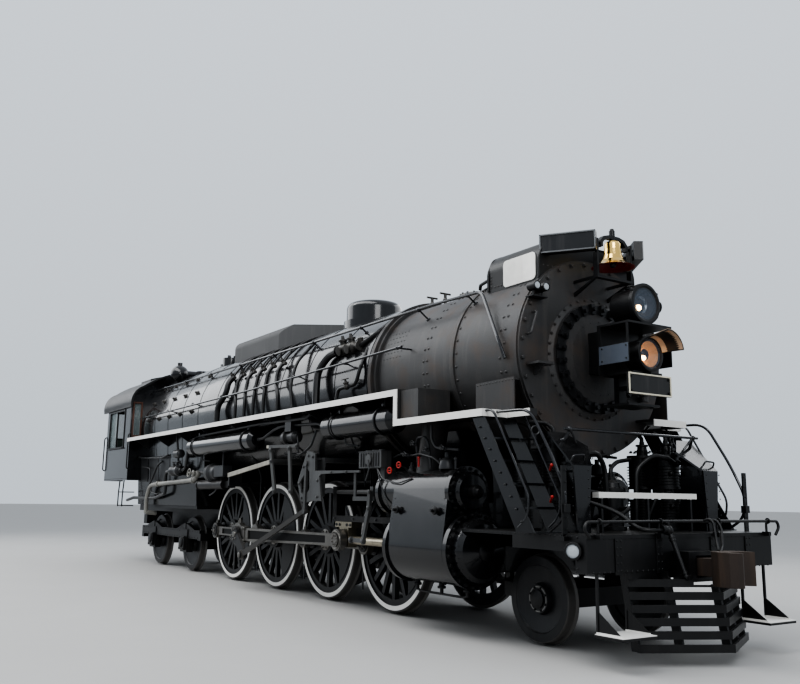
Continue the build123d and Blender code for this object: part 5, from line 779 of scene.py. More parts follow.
# Small fittings on the boiler's top.
for x, z in ((3.98, 4.31), (4.30, 4.31), (5.20, 4.31)):
    y = -0.30 if x < 5 else 0.25
    cocks.rod((x, y, z - 0.06), (x, y, z + 0.10), 0.022)
    cocks.rod((x, y - 0.09, z + 0.11), (x, y + 0.09, z + 0.11), 0.014)
    cocks.ball((x, y, z + 0.02), 0.036, 12)
cocks.lathe((4.62, 0.0, 4.22), (0, 0, 1), [(0, 0.25), (0.12, 0.25), (0.15, 0.235), (0.17, 0.19),
                                           (0.175, 0.06), (0.21, 0.05), (0.215, 0.0)], 40)
ring_of(cocks, (4.62, 0.0, 4.375), (0, 0, 1), 0.215, 14, 0.014)
for x in (-3.50, -3.30):
    cocks.rod((x, 0.42, 4.25), (x, 0.42, 4.55), 0.028)
    cocks.lathe((x, 0.42, 4.50), (0, 0, 1), [(0, 0.03), (0.02, 0.05), (0.20, 0.05), (0.22, 0.03),
                                             (0.24, 0.0)], 16)
make("boiler_valves", cocks, dark_steel, bevel=0.002)
make("boiler_pipes", lines, satin)

# Trim of the cowl, with its pale panel on each side.
panels = Shape(both=True)
trim = Shape(both=True)
outline = []
for cx, cz, a0 in ((6.68, 4.33, 0), (6.22, 4.33, 90), (6.22, 4.11, 180), (6.68, 4.11, 270)):
    for k in range(7):
        a = math.radians(a0 + 15 * k)
        outline.append((cx + 0.055 * math.cos(a), cz + 0.055 * math.sin(a)))
panels.slab(lambda y, o=outline: [Vector((x, y, z)) for x, z in o], 0.789, 0.800)
trim.tube([(5.875, 0.797, 4.06), (5.875, 0.797, 4.30), (5.875, 0.72, 4.47), (5.875, 0.56, 4.545),
           (5.875, 0, 4.547)], 0.014, 0.05, 8)
trim.tube([(6.786, 0.797, 4.06), (6.786, 0.797, 4.30), (6.786, 0.72, 4.47), (6.786, 0.56, 4.545),
           (6.786, 0, 4.547)], 0.014, 0.05, 8)
make("cowl_panels", panels, white, bevel=0.003)
make("cowl_trim", trim, satin)

# Number boards: a rim round each blank face, coloured light grey as a painted highlight on the dark rim.
rims = Shape(both=True)
faces = Shape(both=True)
a, b = Vector((6.77, 0.76, 0)), Vector((7.30, 0.39, 0))
along = (b - a).normalized()
out = Vector((along.y, -along.x, 0))
out = out if out.x > 0 else -out
for z0, z1, t0, t1 in ((4.350, 4.368, 0.0, 1.0), (4.557, 4.575, 0.0, 1.0), (4.350, 4.575, 0.0, 0.026),
                       (4.350, 4.575, 0.974, 1.0)):
    p, q = a + (b - a) * t0, a + (b - a) * t1
    ring = [[p + up, q + up, q + out * 0.012 + up, p + out * 0.012 + up] for up in (Vector((0, 0, z0)),
                                                                                    Vector((0, 0, z1)))]
    rims.rings([r[::-1] for r in ring])
p, q = a + along * 0.025 + out * 0.004, b - along * 0.025 + out * 0.004
ring = [[p + up - out * 0.006, q + up - out * 0.006, q + up, p + up] for up in (Vector((0, 0, 4.372)),
                                                                                Vector((0, 0, 4.553)))]
faces.rings([r[::-1] for r in ring])
make("board_rims", rims, rim_highlight_grey, bevel=0.002)
make("board_faces", faces, board_black)

# Lamps: rims, reflectors and lit bulbs, a side lamp, class lamps and the low lamp's amber visor.
lamp_rims = Shape()
bowls = (Shape(), Shape())
bulbs = Shape()
for bowl, x, z, r in ((bowls[0], 7.65, HEADLIGHT_Z, 0.222), (bowls[1], 7.69, LOW_LAMP_Z, 0.190)):
    lamp_rims.lathe((0, 0, z), (1, 0, 0), [(x - 0.045, r), (x - 0.045, r + 0.010), (x + 0.004, r + 0.010),
                                           (x + 0.008, r - 0.002), (x + 0.006, r - 0.024),
                                           (x - 0.004, r - 0.027)], 56, cap=False)
    bowl.lathe((0, 0, z), (1, 0, 0), [(x - 0.086, r * 0.34), (x - 0.070, r * 0.46), (x - 0.045, r * 0.62),
                                      (x - 0.022, r * 0.76)], 40, cap=False)
    bulbs.ball((x - 0.055, -0.060, z - 0.045), r * 0.15, 16)
    for deg in (35, 145, 270):
        a = math.radians(deg)
        lamp_rims.box((x - 0.04, (r + 0.012) * math.cos(a) - 0.012, z + (r + 0.012) * math.sin(a) - 0.012),
                      (x + 0.004, (r + 0.012) * math.cos(a) + 0.012, z + (r + 0.012) * math.sin(a) + 0.012))
lamp_rims.lathe((7.44, 0, 3.893), (0, 0, 1), [(0, 0.06), (0.02, 0.06), (0.025, 0.075), (0.035, 0.07),
                                              (0.045, 0.0)], 20)
make("lamp_rims", lamp_rims, satin, body="smokebox_door", bevel=0.002)
make("lamp_bowl", bowls[0], reflector, body="smokebox_door")
make("low_lamp_bowl", bowls[1], warm_bowl, body="smokebox_door")
make("lamp_bulbs", bulbs, bulb, body="smokebox_door")
side_lamp = Shape()
side_glass = Shape()
side_lamp.lathe((7.50, 0.262, 3.72), (0.3, 1, 0), [(0, 0.05), (0.01, 0.065), (0.035, 0.068), (0.04, 0.060)],
                24)
side_lamp.lathe((7.525, 0.343, 3.72), (0.3, 1, 0),
                [(0, 0.056), (0.004, 0.066), (0.016, 0.066), (0.022, 0.04), (0.024, 0.0)], 24)
side_lamp.rod((7.51, 0.20, 3.72), (7.53, 0.28, 3.72), 0.03)
for dz in (-0.055, 0.055):
    side_lamp.rod((7.515, 0.29, 3.72 + dz), (7.53, 0.35, 3.72 + dz), 0.006, seg=8)
side_glass.lathe((7.512, 0.30, 3.72), (0.3, 1, 0), [(0, 0.050), (0.022, 0.057), (0.044, 0.050)], 24)
make("side_lamp", side_lamp, satin, body="smokebox_door", bevel=0.001)
make("side_lamp_glass", side_glass, lamp_glass, body="smokebox_door")
class_lamps = Shape(both=True)
class_glass = Shape(both=True)
for x, y, z in ((6.93, 0.86, 3.90), (6.93, 0.995, 3.90)):
    class_lamps.lathe((x - 0.085, y, z), (1, 0, 0), [(0, 0.03), (0.01, 0.05), (0.14, 0.052), (0.145, 0.044)],
                      20, cap=False)
    class_lamps.rod((x - 0.02, y, z - 0.05), (x - 0.02, y, z - 0.11), 0.012)
    class_glass.lathe((x + 0.048, y, z), (1, 0, 0), [(0, 0.044), (0.01, 0.034), (0.014, 0.0)], 20)
class_lamps.box((6.83, 0.81, 3.78), (6.95, 1.04, 3.795))
make("class_lamps", class_lamps, satin, bevel=0.002)
make("class_lamp_glass", class_glass, clear_lens)
visor = Shape()
arcs = []
for x, r in ((7.672, 0.192), (7.80, 0.217), (7.948, 0.240)):
    arcs.append([Vector((x, r * math.sin(math.radians(d)),
                         LOW_LAMP_Z + r * math.cos(math.radians(d)))) for d in range(-4, 81, 4)])
count = len(arcs[0])
skin = [p for line in arcs for p in line]
skin += [p + (Vector((p.x, 0, LOW_LAMP_Z)) - p).normalized() * 0.018 for line in arcs for p in line]
half = 3 * count
quads = []
for k in range(2):
    for i in range(count - 1):
        q = k * count + i
        quads += [(q, q + 1, q + count + 1, q + count),
                  (half + q + 1, half + q, half + q + count, half + q + count + 1)]
for i in range(count - 1):
    quads += [(i + 1, i, half + i, half + i + 1),
              (2 * count + i, 2 * count + i + 1, half + 2 * count + i + 1, half + 2 * count + i)]
for k in range(2):
    q = k * count
    quads += [(q, q + count, half + q + count, half + q),
              (q + 2 * count - 1, q + count - 1, half + q + count - 1, half + q + 2 * count - 1)]
visor.add(skin, quads)
make("amber_visor", visor, amber, body="smokebox_door")

# Blank plate under the lamps with its pale border and corner bolts, panels on the bracket's sides.
plate_rim = Shape()
for y0, y1, z0, z1 in ((-0.34, 0.34, 2.670, 2.688), (-0.34, 0.34, 2.882, 2.900),
                       (-0.34, -0.322, 2.688, 2.882), (0.322, 0.34, 2.688, 2.882)):
    plate_rim.box((7.664, y0, z0), (7.676, y1, z1))
make("plate_rim", plate_rim, cream, body="smokebox_door", bevel=0.003)
plate_bolts = Shape()
for y in (-0.30, 0.30):
    for z in (2.71, 2.86):
        plate_bolts.bolt((7.666, y, z), (1, 0, 0), 0.012, 0.014)
plate_bolts.both = True
for x in (7.31, 7.66):
    for z in (3.05, 3.19):
        plate_bolts.bolt((x, 0.35, z), (0, 1, 0), 0.010, 0.012)
row(plate_bolts, (7.262, 0.33, 3.03), (7.262, 0.33, 3.41), 5, (1, 0, 0))
make("bracket_bolts", plate_bolts, satin, body="smokebox_door")
side_panels = Shape(both=True)
side_panels.box((7.262, 0.3495, 3.012), (7.688, 0.3545, 3.218))
make("bracket_panels", side_panels, blue_grey, body="smokebox_door", bevel=0.004)

# Bell: clapper, crown nut and pivot nuts.
bell_bits = Shape()
bell_bits.ball((BELL_X, 0, 4.245), 0.038, 16)
bell_bits.rod((BELL_X, 0, 4.51), (BELL_X, 0, 4.25), 0.012)
make("bell_clapper", bell_bits, dark_steel, body="bell")
nuts = Shape()
nuts.bolt((BELL_X, 0, 4.648), (0, 0, 1), 0.026, 0.03)
nuts.both = True
nuts.bolt((BELL_X, 0.291, 4.47), (0, 1, 0), 0.022, 0.02)
make("bell_nuts", nuts, satin, body="bell", bevel=0.002)

# Door: hinge bolts and a ring of small rivets.
door_bits = Shape()
for z in (2.84, 3.50):
    row(door_bits, (6.930, 0.40, z), (6.930, 0.66, z), 5, (1, 0, 0), 0.016)
ring_of(door_bits, (6.885, 0, DOOR_Z), (1, 0, 0), 0.43, 20, 0.010, 0.055)
make("door_bolts", door_bits, graphite, body="smokebox_door")
front_bits = Shape()
ring_of(front_bits, (6.845, 0, DOOR_Z), (1, 0, 0), 0.705, 36, 0.013, 0.014)
front_bits.both = True
front_bits.tube([(6.85, 0.95, 3.62), (6.92, 0.95, 3.62), (6.92, 1.04, 3.36), (6.85, 1.04, 3.36)], 0.014,
                0.03)
front_bits.box((6.84, 0.815, 3.031), (7.034, 1.045, 3.037))
row(front_bits, (7.040, 0.83, 3.021), (7.040, 1.03, 3.021), 5, (1, 0, 0), 0.007)
row(front_bits, (6.22, 1.249, 2.82), (6.83, 1.249, 2.834), 12, (0, 1, 0), 0.010)
make("front_bolts", front_bits, graphite)

# Cylinders: cover bolts, drain cocks, relief valves and lagging screws.
cyl = Shape(both=True)
ring_of(cyl, (6.060, 1.15, 0.96), (1, 0, 0), 0.398, 24, 0.020, 0.030)
ring_of(cyl, (6.152, 1.15, 0.96), (1, 0, 0), 0.325, 16, 0.013, 0.018)
ring_of(cyl, (5.980, 1.19, 1.62), (1, 0, 0), 0.264, 18, 0.017, 0.026)
ring_of(cyl, (6.030, 1.19, 1.62), (1, 0, 0), 0.212, 12, 0.012, 0.016)
ring_of(cyl, (4.740, 1.15, 0.96), (-1, 0, 0), 0.39, 20, 0.018, 0.026)
ring_of(cyl, (4.400, 1.19, 1.62), (-1, 0, 0), 0.255, 14, 0.015, 0.020)
cyl.lathe((6.05, 1.19, 1.62), (1, 0, 0), [(0, 0.075), (0.10, 0.075), (0.11, 0.05), (0.15, 0.045),
                                          (0.155, 0.0)], 20)
cyl.lathe((6.24, 1.15, 0.96), (1, 0, 0), [(0, 0.11), (0.03, 0.10), (0.05, 0.06), (0.06, 0.0)], 24)
for x in (4.90, 5.40, 5.90):
    cyl.lathe((x, 1.15, 0.565), (0, 0, -1), [(0, 0.035), (0.04, 0.035), (0.045, 0.05), (0.07, 0.05),
                                             (0.075, 0.022), (0.13, 0.022)], 12)
cyl.tube([(4.90, 1.15, 0.46), (4.95, 1.15, 0.43), (5.85, 1.15, 0.43), (5.90, 1.15, 0.46)], 0.014, 0.03)
for x in (4.98, 5.78):
    cyl.lathe((x, 1.47, 1.40), (0, 1, 0.05), [(0, 0.035), (0.05, 0.035), (0.055, 0.048), (0.075, 0.048),
                                              (0.08, 0.02), (0.12, 0.018)], 12)
for x in (4.86, 5.90):
    for z in (1.06, 1.18, 1.30, 1.42, 1.54):
        y = 1.548 - (z - 1.0) * 0.135
        cyl.rivet((x, y, z), (0, 1, 0.14), 0.010)
make("cylinder_fittings", cyl, satin, bevel=0.0015)

# Motion: nuts, caps, oil cups and bright rings. Each row belongs to the body that carries it.
CRANK_THROW = 0.432
CRANKS = {-1: (-CRANK_THROW, 0.0), 1: (0.0, -CRANK_THROW)}
ROD_EYE_Z = 0.960
MAIN_ROD_X, MAIN_ROD_RISE = 3.150, 0.056
for side, s in (("right", -1), ("left", 1)):
    crank = CRANKS[s]
    cups = Shape()
    for x in DRIVER_XS:
        px, pz = x + crank[0], DRIVER_Z + crank[1]
        r = 0.167 if x == DRIVER_XS[2] else 0.142
        cups.lathe((px, s * 0.98, pz + r - 0.012), (0, 0, 1),
                   [(0, 0.030), (0.05, 0.030), (0.055, 0.020), (0.075, 0.018), (0.08, 0.0)], 12)
        cups.bolt((px - 0.19 if r < 0.15 else px - 0.22, s * 1.016, pz), (0, s, 0), 0.014, 0.012)
    make("side_rod_cups_" + side, cups, steel, body="side_rod_" + side)
    cups = Shape()
    ax, az = DRIVER_XS[2] + crank[0], DRIVER_Z + crank[1]
    reach = (MAIN_ROD_X - DRIVER_XS[2] + CRANK_THROW) ** 2 + MAIN_ROD_RISE ** 2 - (ROD_EYE_Z - az) ** 2
    wrist_x = MAIN_ROD_X if s < 0 else DRIVER_XS[2] + math.sqrt(reach)
    cups.lathe((ax, s * 1.30, az + 0.188), (0, 0, 1),
               [(0, 0.040), (0.05, 0.040), (0.055, 0.026), (0.085, 0.024), (0.09, 0.0)], 12)
    for t in (0.22, 0.29):
        for up in (-0.10, 0.10):
            cups.bolt((ax + t, s * 1.350, az + up + (ROD_EYE_Z - az) * t / 3.5), (0, s, 0), 0.020, 0.018)
    ring_of(cups, (wrist_x, s * 1.374, ROD_EYE_Z), (0, s, 0), 0.062, 8, 0.011, 0.012)
    cups.hoop((wrist_x, s * 1.352, ROD_EYE_Z), (0, 1, 0), 0.118, 0.010, 40, 8)
    make("main_rod_nuts_" + side, cups, steel, body="main_rod_" + side)

hub_y = 0.851
for n, x in enumerate(DRIVER_XS):
    caps = Shape()
    for s in (-1, 1):
        crank = CRANKS[s]
        caps.lathe((x, s * hub_y, DRIVER_Z), (0, s, 0),
                   [(-0.01, 0.165), (0.012, 0.16), (0.020, 0.12), (0.024, 0.10), (0.024, 0.0)], 36)
        ring_of(caps, (x, s * (hub_y + 0.016), DRIVER_Z), (0, s, 0), 0.132, 8, 0.012, 0.014)
        px, pz = x + crank[0], DRIVER_Z + crank[1]
        if n != 2:
            ring_of(caps, (px, s * 1.045, pz), (0, s, 0), 0.060, 6, 0.012, 0.014)
            caps.lathe((px, s * 1.045, pz), (0, s, 0), [(0, 0.036), (0.012, 0.034), (0.016, 0.0)], 20)
        else:
            ring_of(caps, (px, s * 1.412, pz), (0, s, 0), 0.095, 6, 0.015, 0.016)
            caps.lathe((px, s * 1.412, pz), (0, s, 0), [(0, 0.055), (0.014, 0.05), (0.018, 0.0)], 24)
            qx, qz = x + (0.008 if s < 0 else 0.320), DRIVER_Z + (-0.320 if s < 0 else 0.008)
            caps.lathe((qx, s * 1.490, qz), (0, s, 0),
                       [(0, 0.045), (0.008, 0.045), (0.014, 0.025), (0.022, 0.0)], 20)
    make("driver_caps_%d" % (n + 1), caps, steel, body="driver_wheels_%d" % (n + 1))
caps = Shape(both=True)
caps.lathe((LEAD[0], 0.829, LEAD[1]), (0, 1, 0), [(0, 0.10), (0.02, 0.10), (0.03, 0.07), (0.032, 0.0)], 28)
ring_of(caps, (LEAD[0], 0.832, LEAD[1]), (0, 1, 0), 0.125, 8, 0.010, 0.012)
make("lead_caps", caps, satin, body="lead_wheels")
boxes = Shape(both=True)
for x, z, r in TRAILERS:
    boxes.box((x - 0.15, 0.998, z - 0.13), (x + 0.15, 1.055, z + 0.15))
    boxes.lathe((x, 1.05, z + 0.02), (0, 1, 0), [(0, 0.10), (0.02, 0.10), (0.03, 0.08), (0.032, 0.0)], 24)
    for dx in (-0.12, 0.12):
        for dz in (-0.10, 0.12):
            boxes.bolt((x + dx, 1.054, z + dz), (0, 1, 0), 0.014, 0.014)
    for k in range(6):
        half_len = 0.52 - 0.07 * k
        boxes.box((x - half_len, 0.90, 0.862 + 0.018 * k), (x + half_len, 0.98, 0.878 + 0.018 * k))
    boxes.box((x - 0.045, 0.89, 0.860), (x + 0.045, 0.99, 0.985))
row(boxes, (-6.80, 0.982, 0.83), (-3.25, 0.982, 0.83), 24, (0, 1, 0))
row(boxes, (-6.80, 0.982, 0.71), (-3.25, 0.982, 0.71), 24, (0, 1, 0))
make("truck_boxes", boxes, satin, body="trailing_truck", bevel=0.004)

# Bolts and pins of the guides, crossheads and valve gear.
gear = Shape(both=True)
for x in (2.87, 3.40, 4.00, 4.58):
    gear.bolt((x, 1.15, 1.290), (0, 0, 1), 0.022, 0.024)
    gear.bolt((x, 1.220, 1.25), (0, 1, 0), 0.016, 0.016)
for x, z in ((2.90, 1.55), (2.90, 1.78), (2.74, 2.12), (2.60, 2.14), (2.46, 1.98), (2.33, 1.74),
             (2.42, 1.53), (3.30, 1.885), (3.72, 1.885)):
    gear.bolt((x, 1.530, z), (0, 1, 0), 0.018, 0.018)
for x, z in ((1.36, 2.27), (2.02, 2.27), (1.54, 1.63), (2.105, 1.63), (1.40, 2.10), (2.28, 2.30)):
    gear.lathe((x, 1.568, z), (0, 1, 0), [(0, 0.034), (0.010, 0.034), (0.014, 0.020), (0.026, 0.018),
                                          (0.028, 0.0)], 16)
for x, z in ((4.17, 1.62), (4.15, 1.41), (4.015, 0.984), (3.70, 0.984)):
    gear.lathe((x, 1.437, z), (0, 1, 0), [(0, 0.030), (0.010, 0.030), (0.016, 0.014), (0.022, 0.0)], 16)
gear.both = False
for s, wrist in ((-1, 3.15), (1, 3.548)):
    for dx in (-0.19, -0.10, 0.10, 0.19):
        gear.bolt((wrist + dx, s * 1.231, 1.168), (0, s, 0), 0.016, 0.014)
make("gear_bolts", gear, gear_grey)

# Front beam: uncoupling rod, air pipe with its angle cock, lamp, steps' brackets and rows of rivets.
front = Shape()
front.tube([(8.105, -1.43, 1.19), (8.105, -1.50, 1.27), (8.105, -1.47, 1.338), (8.105, 0, 1.342),
            (8.105, 1.47, 1.338), (8.105, 1.50, 1.27), (8.105, 1.43, 1.19)], 0.016, 0.06)
for y in (-1.30, -0.45, 0.45, 1.30):
    front.box((8.040, y - 0.018, 1.18), (8.125, y + 0.018, 1.225))
    front.tube([(8.085, y, 1.22), (8.085, y, 1.31), (8.105, y, 1.335)], 0.013, 0.03)
    front.hoop((8.105, y, 1.341), (0, 1, 0), 0.024, 0.009, 20, 8)
front.tube([(8.105, 0.20, 1.342), (8.16, 0.22, 1.37), (8.20, 0.24, 1.33), (8.26, 0.20, 1.14),
            (8.32, 0.14, 1.06)], 0.014, 0.05)
front.tube([(8.105, 0.28, 1.342), (8.17, 0.32, 1.36), (8.22, 0.34, 1.28), (8.28, 0.26, 1.10),
            (8.33, 0.16, 1.05)], 0.014, 0.05)
front.tube([(7.60, -0.90, 1.52), (7.75, -0.80, 1.46), (7.85, -0.73, 1.40), (7.93, -0.69, 1.325),
            (8.01, -0.64, 1.262), (8.09, -0.55, 1.255), (8.10, -0.42, 1.255)], 0.021, 0.10, 12)
front.lathe((8.10, -0.43, 1.262), (0, 1, 0), [(0, 0.042), (0.02, 0.048), (0.05, 0.048), (0.07, 0.040),
                                              (0.09, 0.040)], 16)
front.ball((8.11, -0.345, 1.255), 0.050, 14)
front.rod((8.11, -0.345, 1.29), (8.11, -0.345, 1.335), 0.014)
front.rod((8.11, -0.39, 1.33), (8.11, -0.28, 1.345), 0.011)
front.rod((8.12, -0.34, 1.24), (8.275, -0.30, 0.80), 0.022, 0.022)
for t in (0.10, 0.16, 0.86, 0.93):
    a, b = Vector((8.12, -0.34, 1.24)), Vector((8.275, -0.30, 0.80))
    front.lathe(a + (b - a) * t, b - a, [(0, 0.031), (0.020, 0.031)], 14)
front.box((8.20, -0.315, 0.785), (8.31, -0.262, 0.835))
front.lathe((7.895, -1.418, 1.065), (0.55, -1, 0),
            [(-0.02, 0.05), (0.02, 0.072), (0.05, 0.084), (0.07, 0.084), (0.075, 0.064)], 28, cap=False)
front.box((7.84, -1.43, 0.99), (7.95, -1.418, 1.14))
front.both = True
row(front, (7.93, 1.421, 1.19), (7.93, 1.421, 0.83), 6, (0, 1, 0), 0.013)
row(front, (6.30, 1.421, 1.197), (7.86, 1.421, 1.197), 22, (0, 1, 0), 0.009)
row(front, (8.051, 0.36, 1.185), (8.051, 1.34, 1.185), 14, (1, 0, 0), 0.013)
row(front, (8.051, 0.36, 0.87), (8.051, 1.34, 0.87), 14, (1, 0, 0), 0.013)
for y in (0.42, 1.00):
    front.box((8.048, y - 0.05, 0.84), (8.062, y + 0.05, 1.20))
    row(front, (8.063, y - 0.025, 0.88), (8.063, y - 0.025, 1.16), 5, (1, 0, 0), 0.012)
    row(front, (8.063, y + 0.025, 0.88), (8.063, y + 0.025, 1.16), 5, (1, 0, 0), 0.012)
front.box((7.735, 1.40 - 0.035, 1.42), (7.80, 1.40 + 0.035, 1.50))
row(front, (7.782, 1.40, 1.26), (7.782, 1.40, 1.82), 6, (1, 0, 0), 0.010)
make("front_beam_fittings", front, satin, bevel=0.002)
beam_lens = Shape()
beam_lens.lathe((7.895, -1.418, 1.065), (0.55, -1, 0),
                [(0.058, 0.076), (0.066, 0.060), (0.072, 0.035), (0.074, 0.0)], 28)
make("beam_lamp_lens", beam_lens, clear_lens)

# Air pumps: cooling ribs, heads with their bolts, valves, and the pipes between them.
pumps = Shape(both=True)
for x, r in ((7.09, 0.140), (6.73, 0.165)):
    for z in [1.30 + 0.034 * k for k in range(8)] + [1.70 + 0.034 * k for k in range(8)]:
        pumps.lathe((x, 0.90, z), (0, 0, 1), [(0, r - 0.004), (0.002, r + 0.022), (0.009, r + 0.022),
                                              (0.011, r - 0.004)], 32, cap=False)
    ring_of(pumps, (x, 0.90, 2.12), (0, 0, 1), r * 0.86, 10, 0.014, 0.018)
    pumps.lathe((x, 0.90, 2.14), (0, 0, 1), [(0, 0.06), (0.05, 0.055), (0.055, 0.075), (0.075, 0.075),
                                             (0.08, 0.03), (0.11, 0.03)], 18)
    pumps.ball((x + r + 0.03, 0.90, 1.98), 0.036, 12)
    pumps.tube([(x, 0.90, 2.24), (x, 0.90, 2.30), (x - 0.10, 0.90, 2.36), (x - 0.25, 1.02, 2.38)], 0.024,
               0.06)
pumps.tube([(7.25, 0.84, 1.98), (7.30, 0.70, 2.02), (7.28, 0.45, 2.06), (7.20, 0.25, 1.90),
            (7.20, 0.22, 1.30)], 0.028, 0.10)
pumps.tube([(7.20, 0.80, 1.62), (7.34, 0.66, 1.64), (7.36, 0.40, 1.60), (7.30, 0.30, 1.35)], 0.020, 0.08)
pumps.box((7.02, 0.72, 1.62), (7.16, 0.76, 1.70))
for z in (1.48, 1.86):
    pumps.ball((7.235, 0.80, z), 0.03, 12)
make("pump_ribs", pumps, satin, bevel=0.0015)
middle = Shape()
middle.lathe((7.05, 0.0, 1.217), (0, 0, 1), [(0, 0.16), (0.04, 0.16), (0.045, 0.13), (0.42, 0.13),
                                             (0.425, 0.16), (0.46, 0.16), (0.465, 0.10), (0.52, 0.09),
                                             (0.55, 0.05), (0.58, 0.05)], 32)
ring_of(middle, (7.05, 0, 1.675), (0, 0, 1), 0.142, 12, 0.012, 0.014)
middle.tube([(7.18, 0.0, 1.45), (7.32, 0.0, 1.46), (7.40, -0.14, 1.44), (7.38, -0.40, 1.30),
             (7.36, -0.55, 1.235)], 0.022, 0.08)
middle.tube([(7.05, 0.0, 1.78), (7.05, 0.0, 1.90), (6.98, 0.18, 1.98), (6.90, 0.5, 2.02)], 0.024, 0.08)
make("deck_strainer", middle, satin, bevel=0.0015)

# Small pipes, valves and red handles over and beside the cylinders.
side = Shape(both=True)
reds = Shape(both=True)
side.tube([(4.55, 1.30, 2.06), (4.78, 1.32, 2.10), (4.95, 1.33, 2.06), (5.20, 1.34, 2.08),
           (5.50, 1.34, 2.02), (5.62, 1.30, 1.92)], 0.013, 0.05)
side.tube([(5.10, 1.30, 1.93), (5.12, 1.34, 2.22), (5.18, 1.36, 2.28), (5.34, 1.36, 2.28),
           (5.38, 1.34, 2.20), (5.38, 1.30, 1.90)], 0.016, 0.05)
side.tube([(5.50, 1.38, 2.40), (5.50, 1.38, 2.24), (5.56, 1.36, 2.14), (5.74, 1.34, 2.12),
           (5.94, 1.30, 2.10)], 0.018, 0.05)
side.lathe((5.64, 1.25, 1.885), (0, 0, 1), [(0, 0.10), (0.03, 0.10), (0.10, 0.085), (0.135, 0.05),
                                            (0.14, 0.03), (0.20, 0.03)], 24)
side.lathe((4.88, 1.24, 1.87), (0, 0, 1), [(0, 0.055), (0.03, 0.055), (0.035, 0.04), (0.07, 0.04),
                                           (0.075, 0.02), (0.12, 0.02)], 18)
for x, z in ((5.12, 2.20), (5.38, 2.12), (5.74, 2.12), (4.95, 2.07)):
    valve(side, (x, 1.35, z), (0, 1, 0.2), 0.026)
for x in (5.15, 5.55, 5.85):
    side.rod((x, 1.28, 1.86), (x, 1.28, 2.00), 0.014)
    side.ball((x, 1.28, 2.00), 0.024, 10)
side.tube([(4.40, 1.46, 1.93), (4.60, 1.50, 1.78), (4.90, 1.47, 1.72), (5.15, 1.42, 1.78)], 0.009, 0.05, 8)
side.tube([(4.40, 1.46, 1.93), (4.52, 1.49, 1.76), (4.62, 1.46, 1.52), (4.66, 1.42, 1.40)], 0.009, 0.05, 8)
for x, y, z in ((4.85, 1.42, 1.95), (4.67, 1.44, 1.885)):
    reds.hoop((x, y, z), (0.2, 1, 0), 0.036, 0.010, 24, 8)
    reds.rod((x - 0.034, y, z), (x + 0.034, y, z), 0.007, seg=8)
    side.rod((x, y, z), (x, y - 0.10, z - 0.03), 0.010, seg=8)
    side.rod((x, y - 0.10, z - 0.03), (x, 1.26, 1.86), 0.014, seg=8)
reds.rod((5.19, 1.35, 1.92), (5.19, 1.35, 2.03), 0.013)
reds.ball((5.19, 1.35, 2.03), 0.020, 10)
for z in (1.84, 1.52):
    reds.rod((7.30, 1.16, z), (7.37, 1.20, z + 0.05), 0.012)
    reds.ball((7.37, 1.20, z + 0.05), 0.018, 10)
    side.rod((7.30, 1.16, z), (7.20, 1.02, z), 0.012)
# The lubricator's ribs, top plate and lever.
for x in [4.02 + 0.062 * k for k in range(8)]:
    side.box((x, 1.478, 1.945), (x + 0.018, 1.492, 2.12))
side.tube([(4.25, 1.512, 2.03), (4.30, 1.520, 1.90), (4.22, 1.520, 1.76)], 0.012, 0.03)
side.box((3.96, 1.31, 2.138), (4.54, 1.49, 2.148))
make("cylinder_pipes", side, pipe_grey, bevel=0.0015)
make("red_handles", reds, red)

# Under the running boards: brackets, the generator, injectors, tank bands and long pipes.
under = Shape(both=True)
for x in (4.9, 3.85, 2.55, 1.15, -0.35, -1.75, -3.15, -4.55, -5.95):
    z = BOARD_Z - 0.026
    skin = abs(boiler_at(x, 104).y)
    under.slab(lambda t, z=z, skin=skin: [Vector((t, skin - 0.02, z)), Vector((t, 1.595, z)),
                                          Vector((t, 1.595, z - 0.05)), Vector((t, skin - 0.02, z - 0.26))],
               x - 0.008, x + 0.008)
for x0, x1, z in ((-2.6, 0.45, 2.49), (2.95, 4.8, 2.53)):
    for x in (x0 + 0.32, x1 - 0.32):
        under.hoop((x, 1.40, z), (1, 0, 0), 0.182, 0.012, 48, 6)
        under.rod((x, 1.40, z + 0.18), (x, 1.40, BOARD_Z - 0.02), 0.018)
        under.bolt((x, 1.40, z + 0.20), (0, 0, 1), 0.028, 0.03)
    under.lathe((x1 + 0.065, 1.40, z), (1, 0, 0), [(0, 0.035), (0.03, 0.035), (0.032, 0.022), (0.07, 0.022)],
                14)
    under.tube([(x0 + 0.5, 1.40, z - 0.16), (x0 + 0.5, 1.40, z - 0.24), (x0 + 0.55, 1.38, z - 0.27),
                (x0 + 0.7, 1.30, z - 0.28)], 0.014, 0.03)
under.tube([(0.52, 1.40, 2.49), (0.72, 1.40, 2.50), (1.05, 1.38, 2.62), (1.35, 1.38, 2.66),
            (2.60, 1.38, 2.62), (2.90, 1.40, 2.53)], 0.024, 0.10)
# A generator hanging from the board between the tanks.
under.lathe((1.44, 1.36, 2.47), (1, 0, 0), [(0, 0.05), (0.02, 0.10), (0.10, 0.12), (0.16, 0.12),
                                            (0.165, 0.085), (0.34, 0.085), (0.35, 0.10), (0.42, 0.10),
                                            (0.44, 0.05), (0.47, 0.04)], 28)
under.box((1.60, 1.27, 2.55), (1.82, 1.45, 2.85))
for k in range(4):
    valve(under, (1.72 + 0.11 * k, 1.40, 2.20 - 0.05 * (k % 2)), (0, 1, 0), 0.030)
under.tube([(1.60, 1.38, 2.38), (1.66, 1.40, 2.22), (2.10, 1.40, 2.18), (2.30, 1.34, 2.30),
            (2.36, 1.28, 2.55)], 0.018, 0.06)
under.tube([(1.86, 1.36, 2.54), (1.95, 1.38, 2.40), (2.00, 1.40, 2.12)], 0.016, 0.05)
